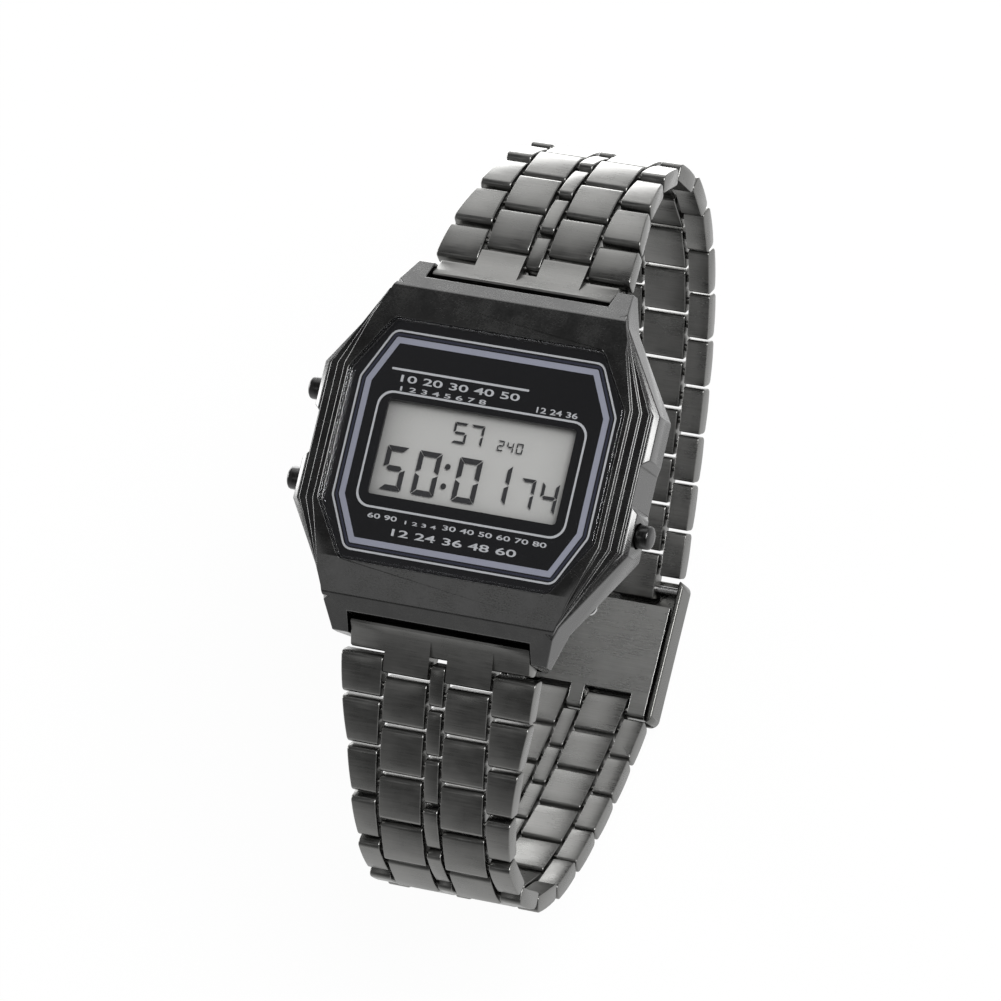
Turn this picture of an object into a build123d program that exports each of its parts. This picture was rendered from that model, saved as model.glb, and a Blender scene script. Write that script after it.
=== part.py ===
"""A digital watch on a steel bracelet, closed as it is worn.

The origin is the middle of the case back's outer face. +X points to 3 o'clock,
+Y to 12 o'clock and +Z out of the dial. All lengths are in millimetres.
"""

import os
from math import cos, hypot, radians, sin, tan

from build123d import *

# The cavity for the module: an octagon a little longer from 9 to 3 o'clock.
CAVITY_Y = 10.4
CAVITY_LONGER_X = 1.0
CAVITY_X = CAVITY_Y + CAVITY_LONGER_X
CAVITY_CUT = 3.0

# The case in plan: a long octagon whose 12 and 6 o'clock ends become the lugs.
CASE_WALL_X = 4.65
CASE_HALF_WIDTH = CAVITY_X + CASE_WALL_X
FLANK_Y = 6.3
SHOULDER_X = 11.3
SHOULDER_Y = 13.6
LUG_X = 10.3
LUG_Y = 16.95

# The case in height, from the case back up to the crystal.
BACK_THICK = 0.7
FLANK_FOOT = 3.6
FLANK_TOP = 6.91
FLANK_CROWN = 0.3
FLANK_CROWN_SLOPE = 60
STEP_RISE = 0.33
STEP_INSET = 0.78
STEP_COUNT = 3
STEP_EDGE_Y = 6.2
LOWER_SLOPE = 25
CASE_TOP = FLANK_TOP + STEP_COUNT * STEP_RISE
CREASE_Y = 14.1
CREASE_Z = 7.2
TOP_Y = 11.0
LUG_TOP = 4.7
SCALLOP_LOW = -1.9
SCALLOP_HIGH = 1.7
SCALLOP_DEPTH = 0.7
SCALLOP_RUN = 0.6
SCALLOP_ROUND = 0.35

# Other openings in the case.
PANEL_X = 12.6
PANEL_Y = 10.7
PANEL_CUT_Y = 5.7
PANEL_CUT_X = 9.7
CRYSTAL_X = 13.15
CRYSTAL_Y = 11.0
CRYSTAL_CUT_Y = 6.0
CRYSTAL_CUT_X = 10.0
CRYSTAL_CORNER = 1.0
CRYSTAL_BEVEL = 0.15
CRYSTAL_TOP = CASE_TOP + 0.1
PANEL_BOTTOM = 6.8
PANEL_TOP = 7.1
SLOT_X = 8.75
SLOT_Y = 15.3

# Fits between pieces, all on the radius or on one side.
RUNNING_FIT = 0.035
FIXED_FIT = 0.02
SEAT_FIT = 0.05

# Spring bars.
BAR_Y = 15.7
BAR_Z = 3.1
BAR_RADIUS = 0.65
BAR_TIP_RADIUS = 0.4
BAR_BODY_X = 8.55
BAR_TIP_X = 9.6
BARREL_RADIUS = 1.1
UNDERCUT_RADIUS = 1.4

# Case back screws and gasket.
SCREW_INSET_X = 0.3
SCREW_INSET_Y = 0.1
SCREW_X = CAVITY_X - SCREW_INSET_X
SCREW_Y = CAVITY_Y - SCREW_INSET_Y
SCREW_SHANK = 0.43
SCREW_HEAD = 0.8
SCREW_HEAD_LOW = 0.05
SCREW_HEAD_HIGH = 0.4
SCREW_END = 3.0
SCREW_SLOT = 0.2
BACK_LAP_X = 3.2
BACK_LAP_Y = 1.8
BACK_X = CAVITY_X + BACK_LAP_X
BACK_Y = CAVITY_Y + BACK_LAP_Y
BACK_CUT_Y = 5.8
BACK_CUT_X = 10.6
BACK_BEVEL = 0.2
GASKET_INNER = 0.3
GASKET_OUTER = 0.8
GASKET_TOP = 1.25

# Module: pieces stacked between the case back and the dial panel. The frame
# takes the cavity's size, and the cell takes the well's.
FRAME_FIT_X = 0.15
FRAME_FIT_Y = 0.1
FRAME_X = CAVITY_X - FRAME_FIT_X
FRAME_Y = CAVITY_Y - FRAME_FIT_Y
WELL_WALL = 0.24
WELL_RADIUS = FRAME_Y - WELL_WALL
BATTERY_FIT = 0.06
BATTERY_RADIUS = WELL_RADIUS - BATTERY_FIT
CLIP_OVERHANG = 0.2
PIEZO_RADIUS = 5.0
PIEZO_TOP = 0.86
CLIP_BOTTOM = 1.0
BATTERY_BOTTOM = 1.15
BATTERY_TOP = 2.75
BATTERY_LIP = 0.3
BOARD_BOTTOM = 2.85
BOARD_TOP = 3.2
BOARD_X = 10.0
BOARD_Y = 7.5
BOARD_BAY_TOP = 3.5
BOARD_FIT = 0.1
LIGHT_X = 9.5
LIGHT_LOW_Y = -5.4
LIGHT_HIGH_Y = 4.5
ZEBRA_X = 8.5
ZEBRA_HALF = 0.4
ZEBRA_HIGH_Y = 5.05
ZEBRA_LOW_Y = -6.0
REFLECTOR_BOTTOM = 4.85
LCD_BOTTOM = 5.05
LCD_TOP = 6.55
LCD_LOW_Y = -6.6
LCD_HIGH_Y = 5.7
WINDOW_X = 9.3
WINDOW_LOW_Y = -5.1
WINDOW_HIGH_Y = 4.1
WINDOW_CORNER = 0.5

# Buttons. Each is (side of the case, y), and the stem slides along X.
BUTTON_LIGHT = (-1, 4.0)
BUTTON_MODE = (-1, -4.3)
BUTTON_START = (1, -4.2)
BUTTON_Z = 5.2
CAP_RADIUS = 1.05
CAP_SINK = 0.4
CAP_LENGTH = 1.7
CAP_INNER = CASE_HALF_WIDTH - CAP_SINK
CAP_OUTER = CAP_INNER + CAP_LENGTH
CAP_DOME = 0.25
COUNTERBORE_RADIUS = 1.15
COUNTERBORE_RUN = 1.15
COUNTERBORE_FLOOR = CAP_INNER - COUNTERBORE_RUN
STEM_RADIUS = 0.45
CIRCLIP_RADIUS = 0.9
CIRCLIP_THICK = 0.2
CIRCLIP_GAP = 0.1
CIRCLIP_HIGH = CAVITY_X - CIRCLIP_GAP
CIRCLIP_LOW = CIRCLIP_HIGH - CIRCLIP_THICK
STEM_BEYOND = 0.25
STEM_END = CIRCLIP_LOW - STEM_BEYOND

# The seal lies part of the way from the cavity wall to the counterbore.
SEAL_RADIUS = 0.75
SEAL_LOW_SHARE = 0.26
SEAL_HIGH_SHARE = 0.48
SEAL_LOW = CAVITY_X + (COUNTERBORE_FLOOR - CAVITY_X) * SEAL_LOW_SHARE
SEAL_HIGH = CAVITY_X + (COUNTERBORE_FLOOR - CAVITY_X) * SEAL_HIGH_SHARE
SPRING_RADIUS = 0.78
SPRING_WIRE = 0.1
SPRING_TURNS = 3
POCKET_BEYOND = 0.65
POCKET_X = STEM_END - POCKET_BEYOND
LCD_WALL = 0.2
LCD_X = POCKET_X - LCD_WALL
POCKET_HALF_Y = 1.2
POCKET_LOW = 4.15
POCKET_HIGH = 6.25

# Bracelet rows. A row is an outer plate on each side, a narrow plate in the
# middle, and between them two inner plates half a row further along.
PITCH = 4.5
ROW_GAP = 0.3
HALF_THICK = 0.85
PLATE_ROUND = 0.35
CENTRE_X = 0.68
INNER_LOW_X = 0.95
INNER_HIGH_X = 5.0
OUTER_LOW_X = 5.3
PIN_RADIUS = 0.35
PIN_INSET = 0.35
BEFORE_HINGE_SHARE = 0.25
HALF_SHARE = 0.5
FIRST_HINGE_Y_12 = 18.05
FIRST_HINGE_Y_6 = 18.65
FIRST_HINGE_Z = 3.0
FIRST_ROW_BEFORE = 0.55
END_PIECE_DROOP = 12

# How far each row of the closed loop points below the horizontal, in degrees.
ROWS_12 = (20, 32, 46, 66, 92, 114, 131, 143, 151, 157, 161, 163, 165, 167)
ROWS_6 = (24, 27, 31, 46, 68, 94, 117, 134, 142, 148, 152, 156)

# Half widths of the band where its rows begin, until it stops tapering.
TAPER = (9.35, 9.0, 8.25, 7.7, 7.35)

# End pieces between the lugs.
END_PIECE_X = 8.6
END_PIECE_BACK_Y = 15.7
END_PIECE_BACK_Z = 5.35
END_PIECE_FOOT_Z = 2.0

# Clasp.
COVER_MARGIN = 1.0
COVER_INNER_N = 1.05
COVER_OUTER_N = 1.65
COVER_X = 7.75
COVER_WALL = 0.5
COVER_ROUND = 0.8
WINDOW_HALF_X = 4.9
LEVER_FIT = 0.15
LEVER_AXIS_U = 2.6
LEVER_AXIS_N = 1.35
LEVER_BARREL = 0.3
LEVER_PIN = 0.18
LEVER_PIN_X = 5.6
LEVER_LIP = 0.35
TOOTH_LOW_U = 4.5
TOOTH_HIGH_U = 5.5
TOOTH_X = 3.0
TOOTH_N = 0.25
CLASP_PIN_X = 7.6
LEAF_X = 7.0
LEAF_TOP_N = -0.25
LEAF_START_U = 1.5
LEAF_END_MARGIN = 1.7
LEAF_ARM_END_U = 2.2
LEAF_ARM_TOP_N = 0.55
LEAF_ARM_BACK_U = -0.75
LEAF_ARM_ROUND = 0.5
LEAF_PIN_X = 6.75
RIB_COUNT = 5
RIB_START_U = 3.2
RIB_STEP = 1.0
RIB_WIDE = 0.4
RIB_TOP_N = -0.1
RIB_X = 5.0


def case_outline(half_x, edge_y, beyond=0):
    """The case in plan: its flanks at half_x up to edge_y, its lugs longer by beyond."""
    lug_x = LUG_X - beyond * (SHOULDER_X - LUG_X) / (LUG_Y - SHOULDER_Y)
    quarter = [(half_x, edge_y), (SHOULDER_X, SHOULDER_Y), (lug_x, LUG_Y + beyond)]
    top = quarter + [(-x, y) for x, y in reversed(quarter)]
    return top + [(-x, -y) for x, y in top]


def octagon(half_x, half_y, cut_x, cut_y):
    """An octagon whose corners lie at (half_x, cut_y) and (cut_x, half_y)."""
    top = [(half_x, cut_y), (cut_x, half_y), (-cut_x, half_y), (-half_x, cut_y)]
    return top + [(-x, -y) for x, y in top]


def even_octagon(half_x, half_y, cut):
    """An octagon made by cutting the corners of a rectangle at 45 degrees."""
    return octagon(half_x, half_y, half_x - cut, half_y - cut)


def box_between(x_low, x_high, y_low, y_high):
    """A rectangle given by its edges, for use in a sketch."""
    with Locations(((x_low + x_high) / 2, (y_low + y_high) / 2)):
        return Rectangle(x_high - x_low, y_high - y_low)


def save(piece, name):
    """Label a piece and write it as a STEP file."""
    piece.label = name
    export_step(piece, f"parts/{name}.step")


class Row:
    """A place along the band: a hinge axis and the direction onward from it.

    side is +1 for the 12 o'clock half and -1 for the 6 o'clock half. Along the
    plane's own axes, x runs along the band and y points out of its outer face.
    """

    def __init__(self, side, y, z, angle):
        self.side = side
        self.y = y
        self.z = z
        self.angle = angle
        self.along = (0, side * cos(radians(angle)), -sin(radians(angle)))
        self.plane = Plane(origin=(0, y, z), x_dir=self.along, z_dir=(side, 0, 0))
        self.plan = Plane(
            origin=(0, y, z),
            x_dir=(1, 0, 0),
            z_dir=(0, side * sin(radians(angle)), cos(radians(angle))),
        )

    def onward(self, angle):
        """The next hinge, one pitch along, with its own direction."""
        return Row(
            self.side,
            self.y + PITCH * self.along[1],
            self.z + PITCH * self.along[2],
            angle,
        )


def rows_of(side, first_y, angles):
    """The rows of one half of the band, and the end of its last row."""
    row = Row(side, side * first_y, FIRST_HINGE_Z, angles[0])
    rows = [row]
    for angle in angles[1:]:
        row = row.onward(angle)
        rows.append(row)
    return rows, row.onward(angles[-1])


def plates(row, start, end, x_low, x_high, mirrored=True):
    """Rounded plates of the band from start to end along a row, on both sides."""
    places = [(x_low + x_high) / 2]
    if mirrored:
        places.append(-places[0])
    half_wide = (x_high - x_low) / 2
    for middle in places:
        with BuildSketch(row.plane.offset(row.side * middle - half_wide)) as profile:
            with Locations(((start + end) / 2, 0)):
                RectangleRounded(end - start, HALF_THICK * 2, PLATE_ROUND)
        extrude(profile.sketch, amount=half_wide * 2)


def bore(row, place, radius, half_length, mode=Mode.SUBTRACT):
    """A round hole or pin across the band at a place along a row."""
    with BuildSketch(row.plane) as circle:
        with Locations((place, 0)):
            Circle(radius)
    extrude(circle.sketch, amount=half_length, both=True, mode=mode)


def taper_cut(row, start, end, x_start, x_end):
    """Cut both outer edges of a row so that the band narrows along it."""
    beyond = CASE_HALF_WIDTH
    for x_side in (1, -1):
        with BuildSketch(row.plan) as waste:
            Polygon(
                (x_side * x_start, row.side * start),
                (x_side * x_end, row.side * end),
                (x_side * beyond, row.side * end),
                (x_side * beyond, row.side * start),
                align=None,
            )
        extrude(waste.sketch, amount=HALF_THICK * 2, both=True, mode=Mode.SUBTRACT)


os.makedirs("parts", exist_ok=True)

# Case middle.
with BuildPart() as case_middle:
    foot_high = FLANK_FOOT - BACK_THICK
    foot_reach = foot_high * tan(radians(LOWER_SLOPE))
    with BuildSketch(Plane.XY.offset(FLANK_FOOT)):
        Polygon(*case_outline(CASE_HALF_WIDTH, FLANK_Y, foot_reach), align=None)
    extrude(amount=-foot_high, taper=LOWER_SLOPE)
    with BuildSketch(Plane.XY.offset(FLANK_FOOT)):
        Polygon(*case_outline(CASE_HALF_WIDTH, FLANK_Y), align=None)
    extrude(amount=FLANK_TOP - FLANK_CROWN - FLANK_FOOT)
    with BuildSketch(Plane.XY.offset(FLANK_TOP - FLANK_CROWN)):
        Polygon(*case_outline(CASE_HALF_WIDTH, FLANK_Y), align=None)
    extrude(amount=FLANK_CROWN, taper=FLANK_CROWN_SLOPE)
    for step in range(STEP_COUNT):
        step_x = CASE_HALF_WIDTH - (step + 1) * STEP_INSET
        with BuildSketch(Plane.XY.offset(FLANK_TOP + step * STEP_RISE)):
            Polygon(*case_outline(step_x, STEP_EDGE_Y), align=None)
        extrude(amount=STEP_RISE)
    with BuildSketch(Plane.YZ):
        half_profile = [
            (TOP_Y, CASE_TOP),
            (CREASE_Y, CREASE_Z),
            (LUG_Y, LUG_TOP),
            (LUG_Y, 0),
        ]
        Polygon(*half_profile, *[(-y, z) for y, z in reversed(half_profile)], align=None)
    extrude(amount=CASE_HALF_WIDTH, both=True, mode=Mode.INTERSECT)
    for end in (1, -1):
        with BuildSketch(Plane.XY):
            slot_near, slot_far = sorted((end * SLOT_Y, end * LUG_Y * 2))
            box_between(-SLOT_X, SLOT_X, slot_near, slot_far)
        extrude(amount=CASE_TOP, mode=Mode.SUBTRACT)
        with BuildSketch(Plane.YZ):
            with Locations((end * BAR_Y, BAR_Z)):
                Circle(UNDERCUT_RADIUS)
        extrude(amount=SLOT_X, both=True, mode=Mode.SUBTRACT)
        with BuildSketch(Plane.YZ):
            with Locations((end * BAR_Y, BAR_Z)):
                Circle(BAR_TIP_RADIUS + RUNNING_FIT)
        extrude(amount=BAR_TIP_X + RUNNING_FIT, both=True, mode=Mode.SUBTRACT)
    with BuildSketch(Plane.XY.offset(BACK_THICK)):
        Polygon(*even_octagon(CAVITY_X, CAVITY_Y, CAVITY_CUT), align=None)
    extrude(amount=PANEL_BOTTOM - BACK_THICK, mode=Mode.SUBTRACT)
    with BuildSketch(Plane.XY.offset(PANEL_BOTTOM)):
        Polygon(*octagon(PANEL_X, PANEL_Y, PANEL_CUT_X, PANEL_CUT_Y), align=None)
    extrude(amount=PANEL_TOP - PANEL_BOTTOM, mode=Mode.SUBTRACT)
    with BuildSketch(Plane.XY.offset(PANEL_TOP)) as crystal_seat:
        Polygon(
            *octagon(CRYSTAL_X + SEAT_FIT, CRYSTAL_Y + SEAT_FIT, CRYSTAL_CUT_X, CRYSTAL_CUT_Y),
            align=None,
        )
        fillet(crystal_seat.vertices(), CRYSTAL_CORNER)
    extrude(amount=CRYSTAL_TOP - PANEL_TOP, mode=Mode.SUBTRACT)
    with BuildSketch(Plane.XY.offset(BACK_THICK)):
        Polygon(
            *even_octagon(CAVITY_X + GASKET_OUTER, CAVITY_Y + GASKET_OUTER, CAVITY_CUT), align=None
        )
        Polygon(
            *even_octagon(CAVITY_X + GASKET_INNER, CAVITY_Y + GASKET_INNER, CAVITY_CUT),
            align=None,
            mode=Mode.SUBTRACT,
        )
    extrude(amount=GASKET_TOP - BACK_THICK, mode=Mode.SUBTRACT)
    with BuildSketch(Plane.XY.offset(BACK_THICK)):
        with GridLocations(SCREW_X * 2, SCREW_Y * 2, 2, 2):
            Circle(SCREW_SHANK + RUNNING_FIT)
    extrude(amount=SCREW_END - BACK_THICK + SEAT_FIT, mode=Mode.SUBTRACT)
    for side in (1, -1):
        with BuildSketch(Plane.XY.offset(BACK_THICK)) as scallop:
            inner_x = side * (CASE_HALF_WIDTH - SCALLOP_DEPTH)
            outer_x = side * (CASE_HALF_WIDTH + SCALLOP_DEPTH)
            Polygon(
                (inner_x, SCALLOP_LOW),
                (inner_x, SCALLOP_HIGH),
                (outer_x, SCALLOP_HIGH + SCALLOP_RUN * 2),
                (outer_x, SCALLOP_LOW - SCALLOP_RUN * 2),
                align=None,
            )
            fillet(scallop.vertices(), SCALLOP_ROUND)
        extrude(amount=FLANK_TOP - BACK_THICK, mode=Mode.SUBTRACT)
    for side, button_y in (BUTTON_LIGHT, BUTTON_MODE, BUTTON_START):
        for radius, start in (
            (STEM_RADIUS + RUNNING_FIT, CAVITY_X / 2),
            (SEAL_RADIUS, None),
            (COUNTERBORE_RADIUS, COUNTERBORE_FLOOR),
        ):
            begin = SEAL_LOW if start is None else start
            finish = SEAL_HIGH if start is None else CASE_HALF_WIDTH + STEP_INSET
            with BuildSketch(Plane.YZ.offset(side * begin)):
                with Locations((button_y, BUTTON_Z)):
                    Circle(radius)
            extrude(amount=side * (finish - begin), mode=Mode.SUBTRACT)
save(case_middle.part, "case_middle")

# Crystal and dial panel.
with BuildPart() as crystal:
    with BuildSketch(Plane.XY.offset(PANEL_TOP)) as crystal_plan:
        Polygon(*octagon(CRYSTAL_X, CRYSTAL_Y, CRYSTAL_CUT_X, CRYSTAL_CUT_Y), align=None)
        fillet(crystal_plan.vertices(), CRYSTAL_CORNER)
    extrude(amount=CRYSTAL_TOP - PANEL_TOP)
    chamfer(crystal.faces().sort_by(Axis.Z)[-1].edges(), CRYSTAL_BEVEL)
save(crystal.part, "crystal")

with BuildPart() as dial_panel:
    with BuildSketch(Plane.XY.offset(PANEL_BOTTOM)):
        Polygon(
            *octagon(PANEL_X - SEAT_FIT, PANEL_Y - SEAT_FIT, PANEL_CUT_X, PANEL_CUT_Y), align=None
        )
        with Locations((0, (WINDOW_LOW_Y + WINDOW_HIGH_Y) / 2)):
            RectangleRounded(
                WINDOW_X * 2,
                WINDOW_HIGH_Y - WINDOW_LOW_Y,
                WINDOW_CORNER,
                mode=Mode.SUBTRACT,
            )
    extrude(amount=PANEL_TOP - PANEL_BOTTOM)
save(dial_panel.part, "dial_panel")

# Module, from the display down to the buzzer.
with BuildPart() as lcd_glass:
    with BuildSketch(Plane.XY.offset(LCD_BOTTOM)):
        box_between(-LCD_X, LCD_X, LCD_LOW_Y, LCD_HIGH_Y)
    extrude(amount=LCD_TOP - LCD_BOTTOM)
save(lcd_glass.part, "lcd_glass")

with BuildPart() as lcd_reflector:
    with BuildSketch(Plane.XY.offset(REFLECTOR_BOTTOM)):
        reflector_x = (LIGHT_X + LCD_X) / 2
        box_between(-reflector_x, reflector_x, LIGHT_LOW_Y, LIGHT_HIGH_Y)
    extrude(amount=LCD_BOTTOM - REFLECTOR_BOTTOM)
save(lcd_reflector.part, "lcd_reflector")

with BuildPart() as zebra_strips:
    with BuildSketch(Plane.XY.offset(BOARD_TOP)):
        with Locations((0, ZEBRA_HIGH_Y), (0, ZEBRA_LOW_Y)):
            Rectangle(ZEBRA_X * 2, ZEBRA_HALF * 2)
    extrude(amount=LCD_BOTTOM - BOARD_TOP)
save(zebra_strips.part, "zebra_strips")

with BuildPart() as module_frame:
    with BuildSketch(Plane.XY.offset(BATTERY_BOTTOM)):
        Polygon(*even_octagon(FRAME_X, FRAME_Y, CAVITY_CUT), align=None)
    extrude(amount=PANEL_BOTTOM - BATTERY_BOTTOM)
    with BuildSketch(Plane.XY.offset(BATTERY_BOTTOM)):
        Circle(WELL_RADIUS)
    extrude(amount=BOARD_BOTTOM - BATTERY_BOTTOM, mode=Mode.SUBTRACT)
    with BuildSketch(Plane.XY.offset(BOARD_BOTTOM)):
        Rectangle((BOARD_X + BOARD_FIT) * 2, (BOARD_Y + BOARD_FIT) * 2)
    extrude(amount=BOARD_BAY_TOP - BOARD_BOTTOM, mode=Mode.SUBTRACT)
    with BuildSketch(Plane.XY.offset(BOARD_BAY_TOP)):
        box_between(-LIGHT_X, LIGHT_X, LIGHT_LOW_Y, LIGHT_HIGH_Y)
        with Locations((0, ZEBRA_HIGH_Y), (0, ZEBRA_LOW_Y)):
            Rectangle((ZEBRA_X + SEAT_FIT) * 2, (ZEBRA_HALF + SEAT_FIT) * 2)
    extrude(amount=REFLECTOR_BOTTOM - BOARD_BAY_TOP, mode=Mode.SUBTRACT)
    with BuildSketch(Plane.XY.offset(REFLECTOR_BOTTOM)):
        box_between(
            -LCD_X - SEAT_FIT, LCD_X + SEAT_FIT, LCD_LOW_Y - SEAT_FIT, LCD_HIGH_Y + SEAT_FIT
        )
    extrude(amount=PANEL_BOTTOM - REFLECTOR_BOTTOM, mode=Mode.SUBTRACT)
    for side, button_y in (BUTTON_LIGHT, BUTTON_MODE, BUTTON_START):
        with BuildSketch(Plane.XY.offset(POCKET_LOW)):
            near, far = sorted((side * POCKET_X, side * CAVITY_X))
            box_between(near, far, button_y - POCKET_HALF_Y, button_y + POCKET_HALF_Y)
        extrude(amount=POCKET_HIGH - POCKET_LOW, mode=Mode.SUBTRACT)
save(module_frame.part, "module_frame")

with BuildPart() as circuit_board:
    with BuildSketch(Plane.XY.offset(BOARD_BOTTOM)):
        Rectangle(BOARD_X * 2, BOARD_Y * 2)
    extrude(amount=BOARD_TOP - BOARD_BOTTOM)
save(circuit_board.part, "circuit_board")

CHIP_SIZE = 5.0
CHIP_THICK = 0.8
CHIP_X = -3.0
CHIP_Y = -0.5
with BuildPart() as chip:
    with BuildSketch(Plane.XY.offset(BOARD_TOP)):
        with Locations((CHIP_X, CHIP_Y)):
            Rectangle(CHIP_SIZE, CHIP_SIZE)
    extrude(amount=CHIP_THICK)
save(chip.part, "chip")

QUARTZ_RADIUS = 0.7
QUARTZ_LENGTH = 5.0
QUARTZ_X = 2.0
QUARTZ_Y = 2.2
with BuildPart() as quartz_can:
    with BuildSketch(Plane.YZ.offset(QUARTZ_X)):
        with Locations((QUARTZ_Y, BOARD_TOP + QUARTZ_RADIUS)):
            Circle(QUARTZ_RADIUS)
    extrude(amount=QUARTZ_LENGTH)
save(quartz_can.part, "quartz_can")

LAMP_X = 9.0
LAMP_WIDE = 1.0
LAMP_LONG = 1.4
with BuildPart() as lamp:
    with BuildSketch(Plane.XY.offset(BOARD_TOP)):
        with Locations((LAMP_X, 0)):
            Rectangle(LAMP_WIDE, LAMP_LONG)
    extrude(amount=LAMP_WIDE)
save(lamp.part, "lamp")

with BuildPart() as battery:
    with BuildSketch(Plane.XY.offset(BATTERY_BOTTOM)):
        Circle(BATTERY_RADIUS)
    extrude(amount=BATTERY_TOP - BATTERY_BOTTOM - BATTERY_LIP)
    with BuildSketch(Plane.XY.offset(BATTERY_TOP - BATTERY_LIP)):
        Circle(BATTERY_RADIUS - BATTERY_LIP * 2)
    extrude(amount=BATTERY_LIP)
save(battery.part, "battery")

CLIP_HALF_X = 2.0
CLIP_HALF_Y = BATTERY_RADIUS + CLIP_OVERHANG
with BuildPart() as battery_clip:
    with BuildSketch(Plane.XY.offset(CLIP_BOTTOM)):
        Rectangle(CLIP_HALF_X * 2, CLIP_HALF_Y * 2)
    extrude(amount=BATTERY_BOTTOM - CLIP_BOTTOM)
save(battery_clip.part, "battery_clip")

with BuildPart() as piezo_buzzer:
    with BuildSketch(Plane.XY.offset(BACK_THICK)):
        Circle(PIEZO_RADIUS)
    extrude(amount=PIEZO_TOP - BACK_THICK)
save(piezo_buzzer.part, "piezo_buzzer")

# Case back, its gasket and its four screws.
with BuildPart() as case_back:
    with BuildSketch(Plane.XY):
        Polygon(*octagon(BACK_X, BACK_Y, BACK_CUT_X, BACK_CUT_Y), align=None)
    extrude(amount=BACK_THICK)
    chamfer(case_back.faces().sort_by(Axis.Z)[0].edges(), BACK_BEVEL)
    with BuildSketch(Plane.XY):
        with GridLocations(SCREW_X * 2, SCREW_Y * 2, 2, 2):
            Circle(SCREW_HEAD + SEAT_FIT)
    extrude(amount=SCREW_HEAD_HIGH, mode=Mode.SUBTRACT)
    with BuildSketch(Plane.XY):
        with GridLocations(SCREW_X * 2, SCREW_Y * 2, 2, 2):
            Circle(SCREW_SHANK + RUNNING_FIT)
    extrude(amount=BACK_THICK, mode=Mode.SUBTRACT)
save(case_back.part, "case_back")

with BuildPart() as back_gasket:
    with BuildSketch(Plane.XY.offset(BACK_THICK)):
        gasket_out = GASKET_OUTER - SEAT_FIT
        gasket_in = GASKET_INNER + SEAT_FIT
        Polygon(*even_octagon(CAVITY_X + gasket_out, CAVITY_Y + gasket_out, CAVITY_CUT), align=None)
        Polygon(
            *even_octagon(CAVITY_X + gasket_in, CAVITY_Y + gasket_in, CAVITY_CUT),
            align=None,
            mode=Mode.SUBTRACT,
        )
    extrude(amount=GASKET_TOP - BACK_THICK)
save(back_gasket.part, "back_gasket")

with BuildPart() as back_screws:
    with BuildSketch(Plane.XY.offset(SCREW_HEAD_LOW)):
        with GridLocations(SCREW_X * 2, SCREW_Y * 2, 2, 2):
            Circle(SCREW_HEAD)
    extrude(amount=SCREW_HEAD_HIGH - SCREW_HEAD_LOW)
    with BuildSketch(Plane.XY.offset(SCREW_HEAD_HIGH)):
        with GridLocations(SCREW_X * 2, SCREW_Y * 2, 2, 2):
            Circle(SCREW_SHANK)
    extrude(amount=SCREW_END - SCREW_HEAD_HIGH)
    with BuildSketch(Plane.XY.offset(SCREW_HEAD_LOW)):
        with GridLocations(SCREW_X * 2, SCREW_Y * 2, 2, 2):
            Rectangle(SCREW_HEAD * 2, SCREW_SLOT)
    extrude(amount=(SCREW_HEAD_HIGH - SCREW_HEAD_LOW) / 2, mode=Mode.SUBTRACT)
save(back_screws.part, "back_screws")

# Spring bars.
with BuildPart() as spring_bars:
    for radius, half_length in ((BAR_RADIUS, BAR_BODY_X), (BAR_TIP_RADIUS, BAR_TIP_X)):
        with BuildSketch(Plane.YZ):
            with Locations((BAR_Y, BAR_Z), (-BAR_Y, BAR_Z)):
                Circle(radius)
        extrude(amount=half_length, both=True)
save(spring_bars.part, "spring_bars")

# Buttons, each with its return spring and the clip on its stem.
for name, (side, button_y) in (
    ("light", BUTTON_LIGHT),
    ("mode", BUTTON_MODE),
    ("start", BUTTON_START),
):
    with BuildPart() as button:
        with BuildSketch(Plane.YZ.offset(side * CAP_INNER)):
            with Locations((button_y, BUTTON_Z)):
                Circle(CAP_RADIUS)
        extrude(amount=side * (CAP_OUTER - CAP_INNER))
        outermost = button.faces().sort_by(Axis.X)[-1 if side > 0 else 0]
        fillet(outermost.edges(), CAP_DOME)
        with BuildSketch(Plane.YZ.offset(side * STEM_END)):
            with Locations((button_y, BUTTON_Z)):
                Circle(STEM_RADIUS)
        extrude(amount=side * (CAP_INNER - STEM_END))
    save(button.part, f"button_{name}")

    with BuildPart() as button_spring:
        spring_length = CAP_INNER - COUNTERBORE_FLOOR - SPRING_WIRE * 2
        spring_foot = (side * (COUNTERBORE_FLOOR + SPRING_WIRE), button_y, BUTTON_Z)
        with BuildLine():
            coil = Helix(
                spring_length / SPRING_TURNS,
                spring_length,
                SPRING_RADIUS,
                center=spring_foot,
                direction=(side, 0, 0),
            )
        with BuildSketch(Plane(origin=coil @ 0, z_dir=coil % 0)):
            Circle(SPRING_WIRE)
        sweep(is_frenet=True)
    save(button_spring.part, f"button_spring_{name}")

    with BuildPart() as button_clip:
        with BuildSketch(Plane.YZ.offset(side * CIRCLIP_LOW)):
            with Locations((button_y, BUTTON_Z)):
                Circle(CIRCLIP_RADIUS)
                Circle(STEM_RADIUS + FIXED_FIT, mode=Mode.SUBTRACT)
            with Locations((button_y, BUTTON_Z + CIRCLIP_RADIUS)):
                Rectangle(STEM_RADIUS, CIRCLIP_RADIUS * 2, mode=Mode.SUBTRACT)
        extrude(amount=side * (CIRCLIP_HIGH - CIRCLIP_LOW))
    save(button_clip.part, f"button_clip_{name}")

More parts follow.
